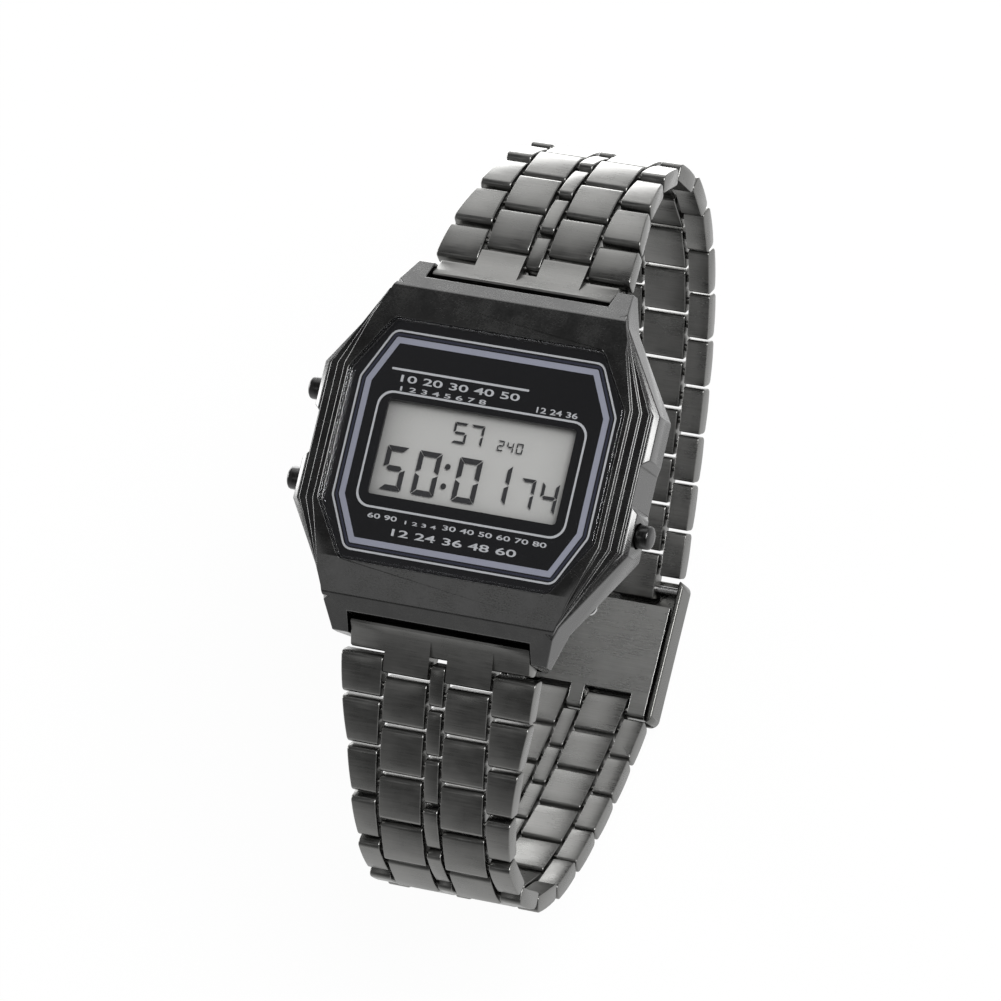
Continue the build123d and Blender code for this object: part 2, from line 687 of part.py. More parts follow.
with BuildPart() as button_seals:
    for side, button_y in (BUTTON_LIGHT, BUTTON_MODE, BUTTON_START):
        with BuildSketch(Plane.YZ.offset(side * SEAL_LOW)):
            with Locations((button_y, BUTTON_Z)):
                Circle(SEAL_RADIUS)
                Circle(STEM_RADIUS + RUNNING_FIT, mode=Mode.SUBTRACT)
        extrude(amount=side * (SEAL_HIGH - SEAL_LOW))
save(button_seals.part, "button_seals")

# End pieces. Each has a barrel round the spring bar and carries the first row.
plate_gap = ROW_GAP / 2
before_hinge = BEFORE_HINGE_SHARE * PITCH
after_hinge = PITCH - before_hinge
for side, hour, first_y in ((1, "12", FIRST_HINGE_Y_12), (-1, "6", FIRST_HINGE_Y_6)):
    tongue = Row(side, side * first_y, FIRST_HINGE_Z, END_PIECE_DROOP)
    with BuildPart() as end_piece:
        front = -FIRST_ROW_BEFORE - plate_gap
        slope = radians(END_PIECE_DROOP)
        front_y = first_y + front * cos(slope)
        front_z = FIRST_HINGE_Z - front * sin(slope)
        shift_y = HALF_THICK * sin(slope)
        shift_z = HALF_THICK * cos(slope)
        with BuildSketch(Plane.YZ.offset(-END_PIECE_X)):
            Polygon(
                (side * END_PIECE_BACK_Y, BAR_Z),
                (side * END_PIECE_BACK_Y, END_PIECE_BACK_Z),
                (side * (front_y + shift_y), front_z + shift_z),
                (side * (front_y - shift_y), front_z - shift_z),
                (side * BAR_Y, END_PIECE_FOOT_Z),
                align=None,
            )
            with Locations((side * BAR_Y, BAR_Z)):
                Circle(BARREL_RADIUS)
        extrude(amount=END_PIECE_X * 2)
        plates(tongue, front - HALF_THICK, before_hinge - plate_gap, INNER_LOW_X, INNER_HIGH_X)
        with BuildSketch(Plane.YZ):
            with Locations((side * BAR_Y, BAR_Z)):
                Circle(BAR_RADIUS + RUNNING_FIT)
        extrude(amount=END_PIECE_X, both=True, mode=Mode.SUBTRACT)
        bore(tongue, 0, PIN_RADIUS + RUNNING_FIT, INNER_HIGH_X)
    save(end_piece.part, f"end_piece_{hour}")

# The band, one file for each row with the pin of its hinge.
rows_12, end_12 = rows_of(1, FIRST_HINGE_Y_12, ROWS_12)
rows_6, end_6 = rows_of(-1, FIRST_HINGE_Y_6, ROWS_6)
for hour, rows in (("12", rows_12), ("6", rows_6)):
    for number, row in enumerate(rows):
        x_start = TAPER[min(number, len(TAPER) - 1)]
        x_end = TAPER[min(number + 1, len(TAPER) - 1)]
        pin_half = x_end - PIN_INSET
        back = plate_gap - (before_hinge if number else FIRST_ROW_BEFORE)
        front = after_hinge - plate_gap
        with BuildPart() as link:
            plates(row, back, front, OUTER_LOW_X, x_start)
            plates(row, back, front, -CENTRE_X, CENTRE_X, mirrored=False)
            plates(
                row,
                before_hinge + plate_gap,
                PITCH + before_hinge - plate_gap,
                INNER_LOW_X,
                INNER_HIGH_X,
            )
            if x_end < x_start:
                taper_cut(row, back, front, x_start, x_end)
            bore(row, 0, PIN_RADIUS + FIXED_FIT, pin_half + FIXED_FIT)
            bore(row, HALF_SHARE * PITCH, PIN_RADIUS + FIXED_FIT, pin_half + FIXED_FIT)
            bore(row, PITCH, PIN_RADIUS + RUNNING_FIT, INNER_HIGH_X)
            bore(row, 0, PIN_RADIUS, pin_half, mode=Mode.ADD)
            bore(row, HALF_SHARE * PITCH, PIN_RADIUS, pin_half, mode=Mode.ADD)
        save(link.part, f"link_{hour}_{number + 1:02d}")

# Clasp. The cover belongs to the 12 o'clock half and the leaf to the other.
span = hypot(end_6.y - end_12.y, end_6.z - end_12.z)
cover_along = (0, (end_6.y - end_12.y) / span, (end_6.z - end_12.z) / span)
cover_plane = Plane(origin=(0, end_12.y, end_12.z), x_dir=cover_along, z_dir=(1, 0, 0))
cover_out = (0, -cover_along[2], cover_along[1])
cover_plan = Plane(
    origin=(0, end_12.y, end_12.z),
    x_dir=cover_along,
    z_dir=cover_out,
)
leaf_plan = Plane(
    origin=(0, end_6.y, end_6.z),
    x_dir=(0, -cover_along[1], -cover_along[2]),
    z_dir=cover_out,
)
leaf_plane = Plane(
    origin=(0, end_6.y, end_6.z),
    x_dir=(0, -cover_along[1], -cover_along[2]),
    z_dir=(-1, 0, 0),
)
cover_middle = span / 2
cover_long = span + COVER_MARGIN * 2

with BuildPart() as clasp_cover:
    with BuildSketch(cover_plan.offset(-HALF_THICK)) as cover_sketch:
        with Locations((cover_middle, 0)):
            Rectangle(cover_long, COVER_X * 2)
        fillet(cover_sketch.vertices(), COVER_ROUND)
    extrude(amount=COVER_OUTER_N + HALF_THICK)
    with BuildSketch(cover_plan.offset(-HALF_THICK)):
        with Locations((cover_middle, 0)):
            Rectangle(cover_long + COVER_MARGIN, (COVER_X - COVER_WALL) * 2)
    extrude(amount=COVER_INNER_N + HALF_THICK, mode=Mode.SUBTRACT)
    with BuildSketch(cover_plan.offset(COVER_INNER_N)):
        box_between(
            LEVER_AXIS_U - LEVER_BARREL - LEVER_FIT,
            cover_long,
            -WINDOW_HALF_X,
            WINDOW_HALF_X,
        )
    extrude(amount=COVER_OUTER_N - COVER_INNER_N, mode=Mode.SUBTRACT)
    with BuildSketch(cover_plane):
        Circle(PIN_RADIUS + FIXED_FIT)
    extrude(amount=CLASP_PIN_X, both=True, mode=Mode.SUBTRACT)
    with BuildSketch(cover_plane):
        with Locations((LEVER_AXIS_U, LEVER_AXIS_N)):
            Circle(LEVER_PIN + FIXED_FIT)
    extrude(amount=LEVER_PIN_X, both=True, mode=Mode.SUBTRACT)
save(clasp_cover.part, "clasp_cover")

with BuildPart() as clasp_pins:
    with BuildSketch(cover_plane):
        Circle(PIN_RADIUS)
    extrude(amount=CLASP_PIN_X, both=True)
    with BuildSketch(cover_plane):
        with Locations((LEVER_AXIS_U, LEVER_AXIS_N)):
            Circle(LEVER_PIN)
    extrude(amount=LEVER_PIN_X, both=True)
save(clasp_pins.part, "clasp_pins")

lever_half_x = WINDOW_HALF_X - LEVER_FIT
with BuildPart() as clasp_lever:
    with BuildSketch(cover_plan.offset(COVER_INNER_N)):
        box_between(
            LEVER_AXIS_U, span + COVER_MARGIN + LEVER_LIP, -lever_half_x, lever_half_x
        )
    extrude(amount=COVER_OUTER_N - COVER_INNER_N)
    with BuildSketch(cover_plane):
        with Locations((LEVER_AXIS_U, LEVER_AXIS_N)):
            Circle(LEVER_BARREL)
    extrude(amount=lever_half_x, both=True)
    with BuildSketch(cover_plan.offset(TOOTH_N)):
        box_between(TOOTH_LOW_U, TOOTH_HIGH_U, -TOOTH_X, TOOTH_X)
    extrude(amount=COVER_INNER_N - TOOTH_N)
    with BuildSketch(cover_plane):
        with Locations((LEVER_AXIS_U, LEVER_AXIS_N)):
            Circle(LEVER_PIN + RUNNING_FIT)
    extrude(amount=lever_half_x, both=True, mode=Mode.SUBTRACT)
save(clasp_lever.part, "clasp_lever")

with BuildPart() as clasp_leaf:
    with BuildSketch(leaf_plan.offset(-HALF_THICK)) as leaf_sketch:
        box_between(LEAF_START_U, span - LEAF_END_MARGIN, -LEAF_X, LEAF_X)
    extrude(amount=HALF_THICK + LEAF_TOP_N)
    for arm_low, arm_high in (
        (OUTER_LOW_X, LEAF_X),
        (-LEAF_X, -OUTER_LOW_X),
        (-CENTRE_X, CENTRE_X),
    ):
        with BuildSketch(leaf_plane.offset(arm_low)):
            with Locations(
                (
                    (LEAF_ARM_BACK_U + LEAF_ARM_END_U) / 2,
                    (LEAF_ARM_TOP_N - HALF_THICK) / 2,
                )
            ):
                RectangleRounded(
                    LEAF_ARM_END_U - LEAF_ARM_BACK_U,
                    LEAF_ARM_TOP_N + HALF_THICK,
                    LEAF_ARM_ROUND,
                )
        extrude(amount=arm_high - arm_low)
    with BuildSketch(leaf_plan.offset(LEAF_TOP_N)):
        for rib in range(RIB_COUNT):
            with Locations((RIB_START_U + rib * RIB_STEP, 0)):
                Rectangle(RIB_WIDE, RIB_X * 2)
    extrude(amount=RIB_TOP_N - LEAF_TOP_N)
    with BuildSketch(leaf_plane):
        Circle(PIN_RADIUS + FIXED_FIT)
    extrude(amount=LEAF_PIN_X + FIXED_FIT, both=True, mode=Mode.SUBTRACT)
    with BuildSketch(leaf_plane):
        Circle(PIN_RADIUS)
    extrude(amount=LEAF_PIN_X, both=True)
save(clasp_leaf.part, "clasp_leaf")
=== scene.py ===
"""A digital watch on a dark steel bracelet, dressed and lit in a plain studio.

Lengths are written in millimetres and turned into metres where a mesh is made.
The frame is that of the solids: +X to 3 o'clock, +Y to 12 o'clock, +Z out of the dial.
"""

import logging
import math
from dataclasses import dataclass
from enum import Enum
from typing import Any, Callable, Sequence

import bmesh
import bpy
import numpy as np
from mathutils import Matrix, Vector


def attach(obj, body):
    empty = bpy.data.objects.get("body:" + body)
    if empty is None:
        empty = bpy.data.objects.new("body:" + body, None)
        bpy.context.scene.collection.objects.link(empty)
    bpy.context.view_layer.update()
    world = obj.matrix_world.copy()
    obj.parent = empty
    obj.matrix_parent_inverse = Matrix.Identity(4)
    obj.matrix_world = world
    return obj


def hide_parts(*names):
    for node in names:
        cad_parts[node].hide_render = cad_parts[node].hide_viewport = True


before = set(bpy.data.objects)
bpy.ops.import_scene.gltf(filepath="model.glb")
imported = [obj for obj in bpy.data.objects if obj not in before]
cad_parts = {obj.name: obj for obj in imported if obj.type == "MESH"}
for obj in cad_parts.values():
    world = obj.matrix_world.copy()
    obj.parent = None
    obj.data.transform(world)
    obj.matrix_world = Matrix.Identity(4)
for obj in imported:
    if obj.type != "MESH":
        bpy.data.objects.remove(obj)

MM = 0.001
LOG = logging.getLogger("watch")
Pair = tuple[float, float]
Triple = tuple[float, float, float]
Colour = tuple[float, float, float]
Box = tuple[float, float, float, float]


def joined(operation: str) -> Callable[["Term", Any], "Term"]:
    """An operator's method: it joins a term and another value in a Math node."""

    def join(term: "Term", other: Any) -> "Term":
        """The result as a Term."""
        return term.math(operation, term, other)

    return join


class Term:
    """A socket that takes part in shader maths written as Python expressions."""

    __add__ = __radd__ = joined("ADD")
    __sub__ = joined("SUBTRACT")
    __mul__ = joined("MULTIPLY")
    __truediv__ = joined("DIVIDE")
    __pow__ = joined("POWER")

    def __init__(self, shader: "Shader", socket: Any) -> None:
        """Wrap a socket of a shader."""
        self.shader, self.socket = shader, socket

    def math(self, operation: str, *values: Any) -> "Term":
        """Add a Math node for an operation on these values."""
        return self.shader.node("ShaderNodeMath", {"operation": operation}, dict(enumerate(values)))

    def __rsub__(self, other: Any) -> "Term":
        """Difference from a number."""
        return self.math("SUBTRACT", other, self)

    def clamped(self) -> "Term":
        """The value held between 0 and 1."""
        return self.math("MAXIMUM", self.math("MINIMUM", self, 1.0), 0.0)


def grey(shade: float) -> Colour:
    """A colour with equal parts."""
    return (shade, shade, shade)


def rgba(colour: Colour) -> tuple[float, float, float, float]:
    """A colour with full alpha."""
    return (*colour, 1.0)


class Shader:
    """A material or world whose nodes are added through one method."""

    noise_roughness = 0.55

    def __init__(self, name: str, is_world: bool = False) -> None:
        """Start an empty material, or a world, with an output node."""
        store = bpy.data.worlds if is_world else bpy.data.materials
        self.owner = store.new(name)
        self.owner.use_nodes = True
        self.tree = self.owner.node_tree
        self.tree.nodes.clear()
        kind = "ShaderNodeOutputWorld" if is_world else "ShaderNodeOutputMaterial"
        self.output = self.tree.nodes.new(kind)

    def node(
        self, kind: str, settings: dict[str, Any] | None = None,
        inputs: dict[Any, Any] | None = None, out: Any = 0,
    ) -> Term:
        """Add a node.

        Args:
            kind: The node's type.
            settings: Properties to set first.
            inputs: Values or Terms by socket name or number.
            out: The output socket that the returned Term wraps.

        Returns:
            The chosen output as a Term.
        """
        made = self.tree.nodes.new(kind)
        for key, value in (settings or {}).items():
            setattr(made, key, value)
        for key, value in (inputs or {}).items():
            if isinstance(value, Term):
                self.tree.links.new(value.socket, made.inputs[key])
            else:
                made.inputs[key].default_value = value
        return Term(self, made.outputs[out])

    def mix(self, factor: Term, first: Colour, second: Colour) -> Term:
        """Mix two colours by a factor."""
        inputs = {0: factor, 6: rgba(first), 7: rgba(second)}
        return self.node("ShaderNodeMix", {"data_type": "RGBA"}, inputs, out=2)

    def placed(self, stretch: Triple) -> Term:
        """The object's own coordinates, scaled along X, Y and Z."""
        inputs = {"Vector": self.coordinates("Object"), "Scale": stretch}
        return self.node("ShaderNodeMapping", {"vector_type": "POINT"}, inputs)

    def noise(self, scale: float, detail: float, stretch: Triple = (1, 1, 1)) -> Term:
        """Noise from 0 to 1, with scale cells in a metre and detail finer layers."""
        inputs = {"Vector": self.placed(stretch), "Scale": scale, "Detail": detail}
        return self.node("ShaderNodeTexNoise", {}, inputs | {"Roughness": self.noise_roughness})

    def varied(self, base: Any, noise: Term, amount: float) -> Term:
        """A value that a noise moves up and down by half an amount."""
        return base + (noise - 0.5) * amount

    def bump(self, height: Term, strength: float, distance: float) -> Term:
        """A normal bent by a height in metres."""
        inputs = {"Height": height, "Strength": strength, "Distance": distance}
        return self.node("ShaderNodeBump", {}, inputs)

    def coordinates(self, kind: str) -> Term:
        """Texture coordinates of a kind."""
        return self.node("ShaderNodeTexCoord", out=kind)

    def split(self, vector: Term) -> tuple[Term, ...]:
        """The three parts of a vector."""
        parts = self.node("ShaderNodeSeparateXYZ", {}, {0: vector}).socket.node.outputs
        return tuple(Term(self, part) for part in parts)

    def end(self, shader: Term) -> Any:
        """Wire a shader to the output, and return the material or world."""
        self.tree.links.new(shader.socket, self.output.inputs["Surface"])
        return self.owner

    def surface(self, colour: Any, rough: Term, gloss: float = 0.5, **more: Any) -> Any:
        """Finish with one Principled shader, and return the material."""
        inputs = {"Base Color": colour, "Roughness": rough.clamped(), "Specular IOR Level": gloss}
        return self.end(self.node("ShaderNodeBsdfPrincipled", {}, inputs | more))


@dataclass(frozen=True)
class CoatedSteel:
    """Steel with a dark grey coat over a fine brushed grain.

    grain stretches the brushing along X, Y and Z: a small number draws its
    lines out along that axis.
    """

    name: str
    dark: Colour
    light: Colour
    roughness: float
    grain: Triple = (0.04, 1.0, 1.0)
    grain_depth: float = 0.000004
    brush_scale: float = 9000.0
    cloud_scale: float = 420.0
    speck_scale: float = 5200.0
    cloud_share: float = 0.55
    brush_share: float = 0.45
    shade_low: float = 0.28
    shade_gain: float = 1.6
    brush_rough: float = 0.22
    cloud_rough: float = 0.25
    speck_height: float = 0.2
    strength: float = 0.35

    def build(self) -> bpy.types.Material:
        """Make the material: long fine scratches, with soft cloudy marks over them."""
        shader = Shader(self.name)
        brushed = shader.noise(self.brush_scale, 2.0, self.grain)
        clouds = shader.noise(self.cloud_scale, 4.0)
        specks = shader.noise(self.speck_scale, 2.0)
        shade = clouds * self.cloud_share + brushed * self.brush_share - self.shade_low
        rough = shader.varied(self.roughness, brushed, self.brush_rough)
        rough = shader.varied(rough, clouds, self.cloud_rough)
        height = brushed * (1 - self.speck_height) + specks * self.speck_height
        normal = shader.bump(height, self.strength, self.grain_depth)
        colour = shader.mix((shade * self.shade_gain).clamped(), self.dark, self.light)
        return shader.surface(colour, rough, Metallic=1.0, Normal=normal)


@dataclass(frozen=True)
class Printed:
    """A flat printed ink on the dial, with a faint mottle."""

    name: str
    colour: Colour
    roughness: float
    mottle: float
    grain_scale: float = 7000.0
    grain_rough: float = 0.1
    gloss: float = 0.4

    def build(self) -> bpy.types.Material:
        """Make the material, darker and lighter in fine grains of pigment."""
        shader = Shader(self.name)
        grains = shader.noise(self.grain_scale, 2.0)
        low = tuple(c * (1 - self.mottle) for c in self.colour)
        high = tuple(c * (1 + self.mottle) for c in self.colour)
        rough = shader.varied(self.roughness, grains, self.grain_rough)
        return shader.surface(shader.mix(grains, low, high), rough, self.gloss)


@dataclass(frozen=True)
class DisplayGrey:
    """The display's grey back, with painted shade that makes it a little darker round its edge."""

    name: str = "display_grey"
    centre: Colour = (0.46, 0.46, 0.45)
    # edge is the colour of the painted shade round the display's edge.
    edge: Colour = (0.2, 0.2, 0.197)
    middle: Pair = (0.0, -0.5)
    reach: Pair = (9.0, 4.3)
    steepness: float = 4.0
    edge_shade: float = 0.6
    grain_scale: float = 6000.0
    grain_shade: float = 0.2
    grain_rough: float = 0.1
    roughness: float = 0.42
    gloss: float = 0.3

    def build(self) -> bpy.types.Material:
        """Make the material: its painted shade is a high power of the way out to each edge."""
        shader = Shader(self.name)
        x, y, _ = shader.split(shader.coordinates("Object"))
        across = (x - self.middle[0] * MM) / (self.reach[0] * MM)
        up = (y - self.middle[1] * MM) / (self.reach[1] * MM)
        near = (across * across) ** self.steepness + (up * up) ** self.steepness
        fine = shader.noise(self.grain_scale, 2.0)
        # Painted shade: the grey goes towards the edge colour near each edge, with a fine grain
        # over it.
        shade = shader.varied(near * self.edge_shade, fine, self.grain_shade).clamped()
        rough = shader.varied(self.roughness, fine, self.grain_rough)
        return shader.surface(shader.mix(shade, self.centre, self.edge), rough, self.gloss)


@dataclass(frozen=True)
class ClearGlass:
    """A hard clear plate that mostly shows what is under it."""

    name: str = "crystal_clear"
    tint: Colour = (0.95, 0.96, 1.0)
    blend: float = 0.5
    steepness: float = 5.0
    glancing: float = 0.6
    head_on: float = 0.035
    smear_scale: float = 260.0
    smear_start: float = 0.45
    smear_rough: float = 0.12
    roughness: float = 0.02

    def build(self) -> bpy.types.Material:
        """Make the material: a faint mirror that shows more towards glancing angles."""
        shader = Shader(self.name)
        facing = shader.node("ShaderNodeLayerWeight", {}, {"Blend": self.blend}, out="Facing")
        smears = (shader.noise(self.smear_scale, 3.0) - self.smear_start).clamped()
        rough = self.roughness + smears * self.smear_rough
        alpha = (facing**self.steepness * self.glancing + self.head_on).clamped()
        return shader.surface(rgba(self.tint), rough, Metallic=1.0, Alpha=alpha)


@dataclass(frozen=True)
class Moulded:
    """A moulded plastic or rubber with a fine grain."""

    name: str
    colour: Colour
    roughness: float = 0.5
    shaded: float = 0.85
    grain_scale: float = 4200.0
    grain_rough: float = 0.15
    grain_depth: float = 0.000003
    strength: float = 0.25

    def build(self) -> bpy.types.Material:
        """Make the material, with a slight cloudiness and a fine orange peel."""
        shader = Shader(self.name)
        grain = shader.noise(self.grain_scale, 3.0)
        low = tuple(c * self.shaded for c in self.colour)
        rough = shader.varied(self.roughness, grain, self.grain_rough)
        normal = shader.bump(grain, self.strength, self.grain_depth)
        return shader.surface(shader.mix(grain, low, self.colour), rough, Normal=normal)


class Finish(Enum):
    """The finishes of the watch, by the part of it that wears them."""

    CASE = CoatedSteel(
        "case_gunmetal", grey(0.085), (0.145, 0.145, 0.143), 0.24, (0.5, 1, 1), 0.000001
    )
    BAND = CoatedSteel("band_gunmetal", (0.15, 0.15, 0.146), (0.25, 0.248, 0.24), 0.31)
    CLASP = CoatedSteel("clasp_gunmetal", (0.11, 0.11, 0.106), (0.18, 0.178, 0.17), 0.3)
    INSIDE = CoatedSteel("inside_steel", (0.22, 0.22, 0.215), (0.36, 0.36, 0.35), 0.3)
    BUTTON = CoatedSteel("button_gunmetal", grey(0.05), grey(0.1), 0.3, (1, 0.1, 0.1))
    BACK = CoatedSteel("back_steel", grey(0.3), grey(0.5), 0.34)
    BRIGHT = CoatedSteel("bright_steel", grey(0.4), grey(0.6), 0.25, (1, 1, 1))
    BRASS = CoatedSteel("buzzer_brass", (0.5, 0.36, 0.12), (0.7, 0.53, 0.22), 0.3, (1, 1, 1))
    PANEL = Printed("panel_black", (0.003, 0.003, 0.004), 0.3, 0.06)
    LAVENDER = Printed("lavender_ink", (0.26, 0.27, 0.33), 0.4, 0.05)
    LINE = Printed("line_ink", (0.42, 0.43, 0.45), 0.45, 0.05)
    SHADE = Printed("blue_line_ink", (0.02, 0.022, 0.04), 0.4, 0.1)
    SEGMENT = Printed("segment_dark", (0.02, 0.02, 0.022), 0.5, 0.1)
    DISPLAY = DisplayGrey()
    CRYSTAL = ClearGlass()
    BOARD = Moulded("board_green", (0.03, 0.2, 0.08))
    BLACK = Moulded("moulded_black", grey(0.025))
    RUBBER = Moulded("seal_rubber", grey(0.02), 0.7)
    ZEBRA = Moulded("connector_grey", (0.3, 0.3, 0.32), 0.6)
    LAMP = Moulded("lamp_resin", (0.8, 0.75, 0.5), 0.25)

    def material(self) -> bpy.types.Material:
        """The material, made once and shared by every piece that wears it."""
        return bpy.data.materials.get(self.value.name) or self.value.build()


def added(name: str, data: Any) -> bpy.types.Object:
    """A new object of some data, put in the scene."""
    made = bpy.data.objects.new(name, data)
    bpy.context.scene.collection.objects.link(made)
    return made


def carried(
    name: str, mesh: bpy.types.Mesh, body: str, replaces: Sequence[str] = ()
) -> bpy.types.Object:
    """A new piece that rides on a body.

    Args:
        name: The piece's name.
        mesh: Its mesh.
        body: The body that carries it.
        replaces: The solids that it stands for.

    Returns:
        The new object.
    """
    made = added(name, mesh)
    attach(made, body)
    if replaces:
        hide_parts(*replaces)
    LOG.info("%s: %d faces on %s", name, len(mesh.polygons), body)
    return made


def dress(finish: Finish, *nodes: str) -> None:
    """Give solids that keep their own shape their finish."""
    for node in nodes:
        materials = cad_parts[node].data.materials
        materials.clear()
        materials.append(finish.material())
        LOG.info("%s: %s", node, finish.value.name)


def dressed_copy(
    node: str, body: str, finish: Finish, width: float, segments: int = 2,
    share: Callable[[Vector, float], float] | None = None,
) -> None:
    """A copy of a solid with its edges softened, which stands for the solid.

    Args:
        node: The solid.
        body: The body that carries it.
        finish: Its finish.
        width: How far the softened edges reach.
        segments: Faces across each softened edge.
        share: The share of the width that an edge gets, from its middle and length.
    """
    near, flat, sharp = 2e-6, math.radians(1.0), math.radians(25)
    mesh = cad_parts[node].data.copy()
    mesh.name = f"{node}_dressed"
    shape = bmesh.new()
    shape.from_mesh(mesh)
    bmesh.ops.remove_doubles(shape, verts=shape.verts, dist=near)
    bmesh.ops.dissolve_limit(shape, angle_limit=flat, verts=shape.verts, edges=shape.edges)
    weights = shape.edges.layers.float.new("bevel_weight_edge")
    for edge in shape.edges:
        if edge.calc_face_angle(0.0) > sharp:
            middle = (edge.verts[0].co + edge.verts[1].co) / 2
            edge[weights] = share(middle, edge.calc_length()) if share else 1.0
    shape.to_mesh(mesh)
    shape.free()
    if "custom_normal" in mesh.attributes:
        mesh.attributes.remove(mesh.attributes["custom_normal"])
    mesh.materials.clear()
    mesh.materials.append(finish.material())
    mesh.shade_smooth()
    made = carried(f"{node}_dressed", mesh, body, [node])
    soften = made.modifiers.new("soften", "BEVEL")
    soften.width = width * MM
    soften.segments = segments
    soften.limit_method = "WEIGHT"
    soften.use_clamp_overlap = False
    weigh = made.modifiers.new("weigh", "WEIGHTED_NORMAL")
    weigh.keep_sharp = True
    weigh.weight = 90


def around(count: int) -> np.ndarray:
    """The angles of a number of points spread evenly round a circle."""
    return np.linspace(0, 2 * math.pi, count + 1)[:-1]


def arc(radius: float, angle: np.ndarray) -> np.ndarray:
    """Plan points on a circle round the origin at some angles."""
    return radius * np.stack([np.cos(angle), np.sin(angle)], -1)


def turned(profile: np.ndarray, y: float, z: float, angle: np.ndarray) -> np.ndarray:
    """Rings of points: a profile of (x, radius) turned by some angles round a line along X."""
    x, radius = profile[:, :1] * np.ones_like(angle), profile[:, 1:]
    return np.stack([x, y + radius * np.cos(angle), z + radius * np.sin(angle)], -1)


def rounding(radius: float, count: int) -> tuple[np.ndarray, np.ndarray]:
    """How far in and down a quarter circle's points are: radius times 1 - cosine, 1 - sine."""
    angle = np.linspace(0, math.pi / 2, count)
    return radius * (1 - np.cos(angle)), radius * (1 - np.sin(angle))


def at_height(points: np.ndarray, z: float) -> np.ndarray:
    """Plan points lifted to a height."""
    return np.column_stack([points, np.full(len(points), z)])


class MeshBag:
    """Vertices and faces gathered from several surfaces into one piece."""

    merge = 1e-7
    least_edge = 1e-8

    def __init__(self) -> None:
        """Start empty."""
        self.vertices: list[np.ndarray] = []
        self.faces: list[list[int]] = []
        self.slots: list[int] = []
        self.count = 0

    def add(self, points: np.ndarray, faces: Sequence[Sequence[int]], slot: int = 0) -> None:
        """Add points in millimetres, and faces that number them from 0."""
        self.vertices.append(points)
        self.faces += [[i + self.count for i in face] for face in faces]
        self.slots += [slot] * len(faces)
        self.count += len(points)

    def plate(self, outline: np.ndarray, z: float, slot: int = 0) -> None:
        """Add one flat face round a plan outline at a height."""
        self.add(at_height(outline, z), [list(range(len(outline)))], slot)

    def rings(
        self, rings: np.ndarray, slot: int = 0, capped: bool = True, closed: bool = False
    ) -> None:
        """Add a tube through rings of points.

        Args:
            rings: An array of ring, point and x, y, z.
            slot: The material slot of its faces.
            capped: Whether flat faces close the first and last ring.
            closed: Whether the last ring joins the first.
        """
        count, size = rings.shape[:2]
        last = count if closed else count - 1
        i, j = np.meshgrid(np.arange(last), np.arange(size), indexing="ij")
        k, l = (i + 1) % count, (j + 1) % size
        quads = np.stack([i * size + j, k * size + j, k * size + l, i * size + l], -1)
        faces = quads.reshape(-1, 4).tolist()
        if capped and not closed:
            faces.append(list(range(size)))
            faces.append(list(range((count - 1) * size, count * size))[::-1])
        self.add(rings.reshape(-1, 3), faces, slot)

    def frame(self, first: np.ndarray, second: np.ndarray, heights: Pair, slot: int = 0) -> None:
        """Add a flat frame between two plan outlines with as many points.

        Args:
            first: One outline.
            second: The other outline.
            heights: The heights of its underside and its top.
            slot: The material slot of its faces.
        """
        low, high = heights
        edges = ((first, low), (first, high), (second, high), (second, low))
        rings = np.stack([at_height(outline, z) for outline, z in edges])
        self.rings(rings, slot, closed=True)

    def piece(
        self, name: str, body: str, finishes: Sequence[Finish],
        replaces: Sequence[str] = (), smooth: float = 35.0,
    ) -> None:
        """Make the piece, ride it on its body and dress it.

        Args:
            name: The piece's name.
            body: The body that carries it.
            finishes: One finish for each material slot.
            replaces: The solids that it stands for.
            smooth: Edges sharper than this many degrees stay crisp.
        """
        mesh = bpy.data.meshes.new(name)
        mesh.from_pydata((np.concatenate(self.vertices) * MM).tolist(), [], self.faces)
        for finish in finishes:
            mesh.materials.append(finish.material())
        mesh.polygons.foreach_set("material_index", np.array(self.slots, np.int32))
        shape = bmesh.new()
        shape.from_mesh(mesh)
        bmesh.ops.remove_doubles(shape, verts=shape.verts, dist=self.merge)
        bmesh.ops.dissolve_degenerate(shape, edges=shape.edges, dist=self.least_edge)
        bmesh.ops.recalc_face_normals(shape, faces=shape.faces)
        shape.to_mesh(mesh)
        shape.free()
        mesh.shade_smooth()
        mesh.set_sharp_from_angle(angle=math.radians(smooth))
        carried(name, mesh, body, replaces)


@dataclass(frozen=True)
class Outline:
    """A convex outline given by the directions and distances of its sides.

    Each corner is an arc: its centre is where two neighbouring sides meet once
    both are moved inwards by the radius, and it runs from one side's direction
    to the next. Moving every side by the same amount gives a parallel outline.
    """

    directions: tuple[float, ...]
    distances: tuple[float, ...]
    centre: Pair = (0.0, 0.0)

    def points(self, grow: float, radius: float, steps: int = 6) -> np.ndarray:
        """Points round the outline.

        Args:
            grow: How far each side moves outwards.
            radius: Corner radius.
            steps: Points on each corner.

        Returns:
            An array of x and y.
        """
        angles = np.radians(self.directions)
        following = np.roll(angles, -1)
        following = np.where(following < angles, following + 2 * math.pi, following)
        reach = np.array(self.distances) + grow - radius
        onward = np.roll(reach, -1)
        cross = np.sin(following - angles)
        x = (reach * np.sin(following) - onward * np.sin(angles)) / cross
        y = (onward * np.cos(angles) - reach * np.cos(following)) / cross
        share = np.linspace(0, 1, steps)
        turn = angles[:, None] + (following - angles)[:, None] * share
        corners = np.stack([x, y], -1)[:, None] + arc(radius, turn)
        return corners.reshape(-1, 2) + self.centre


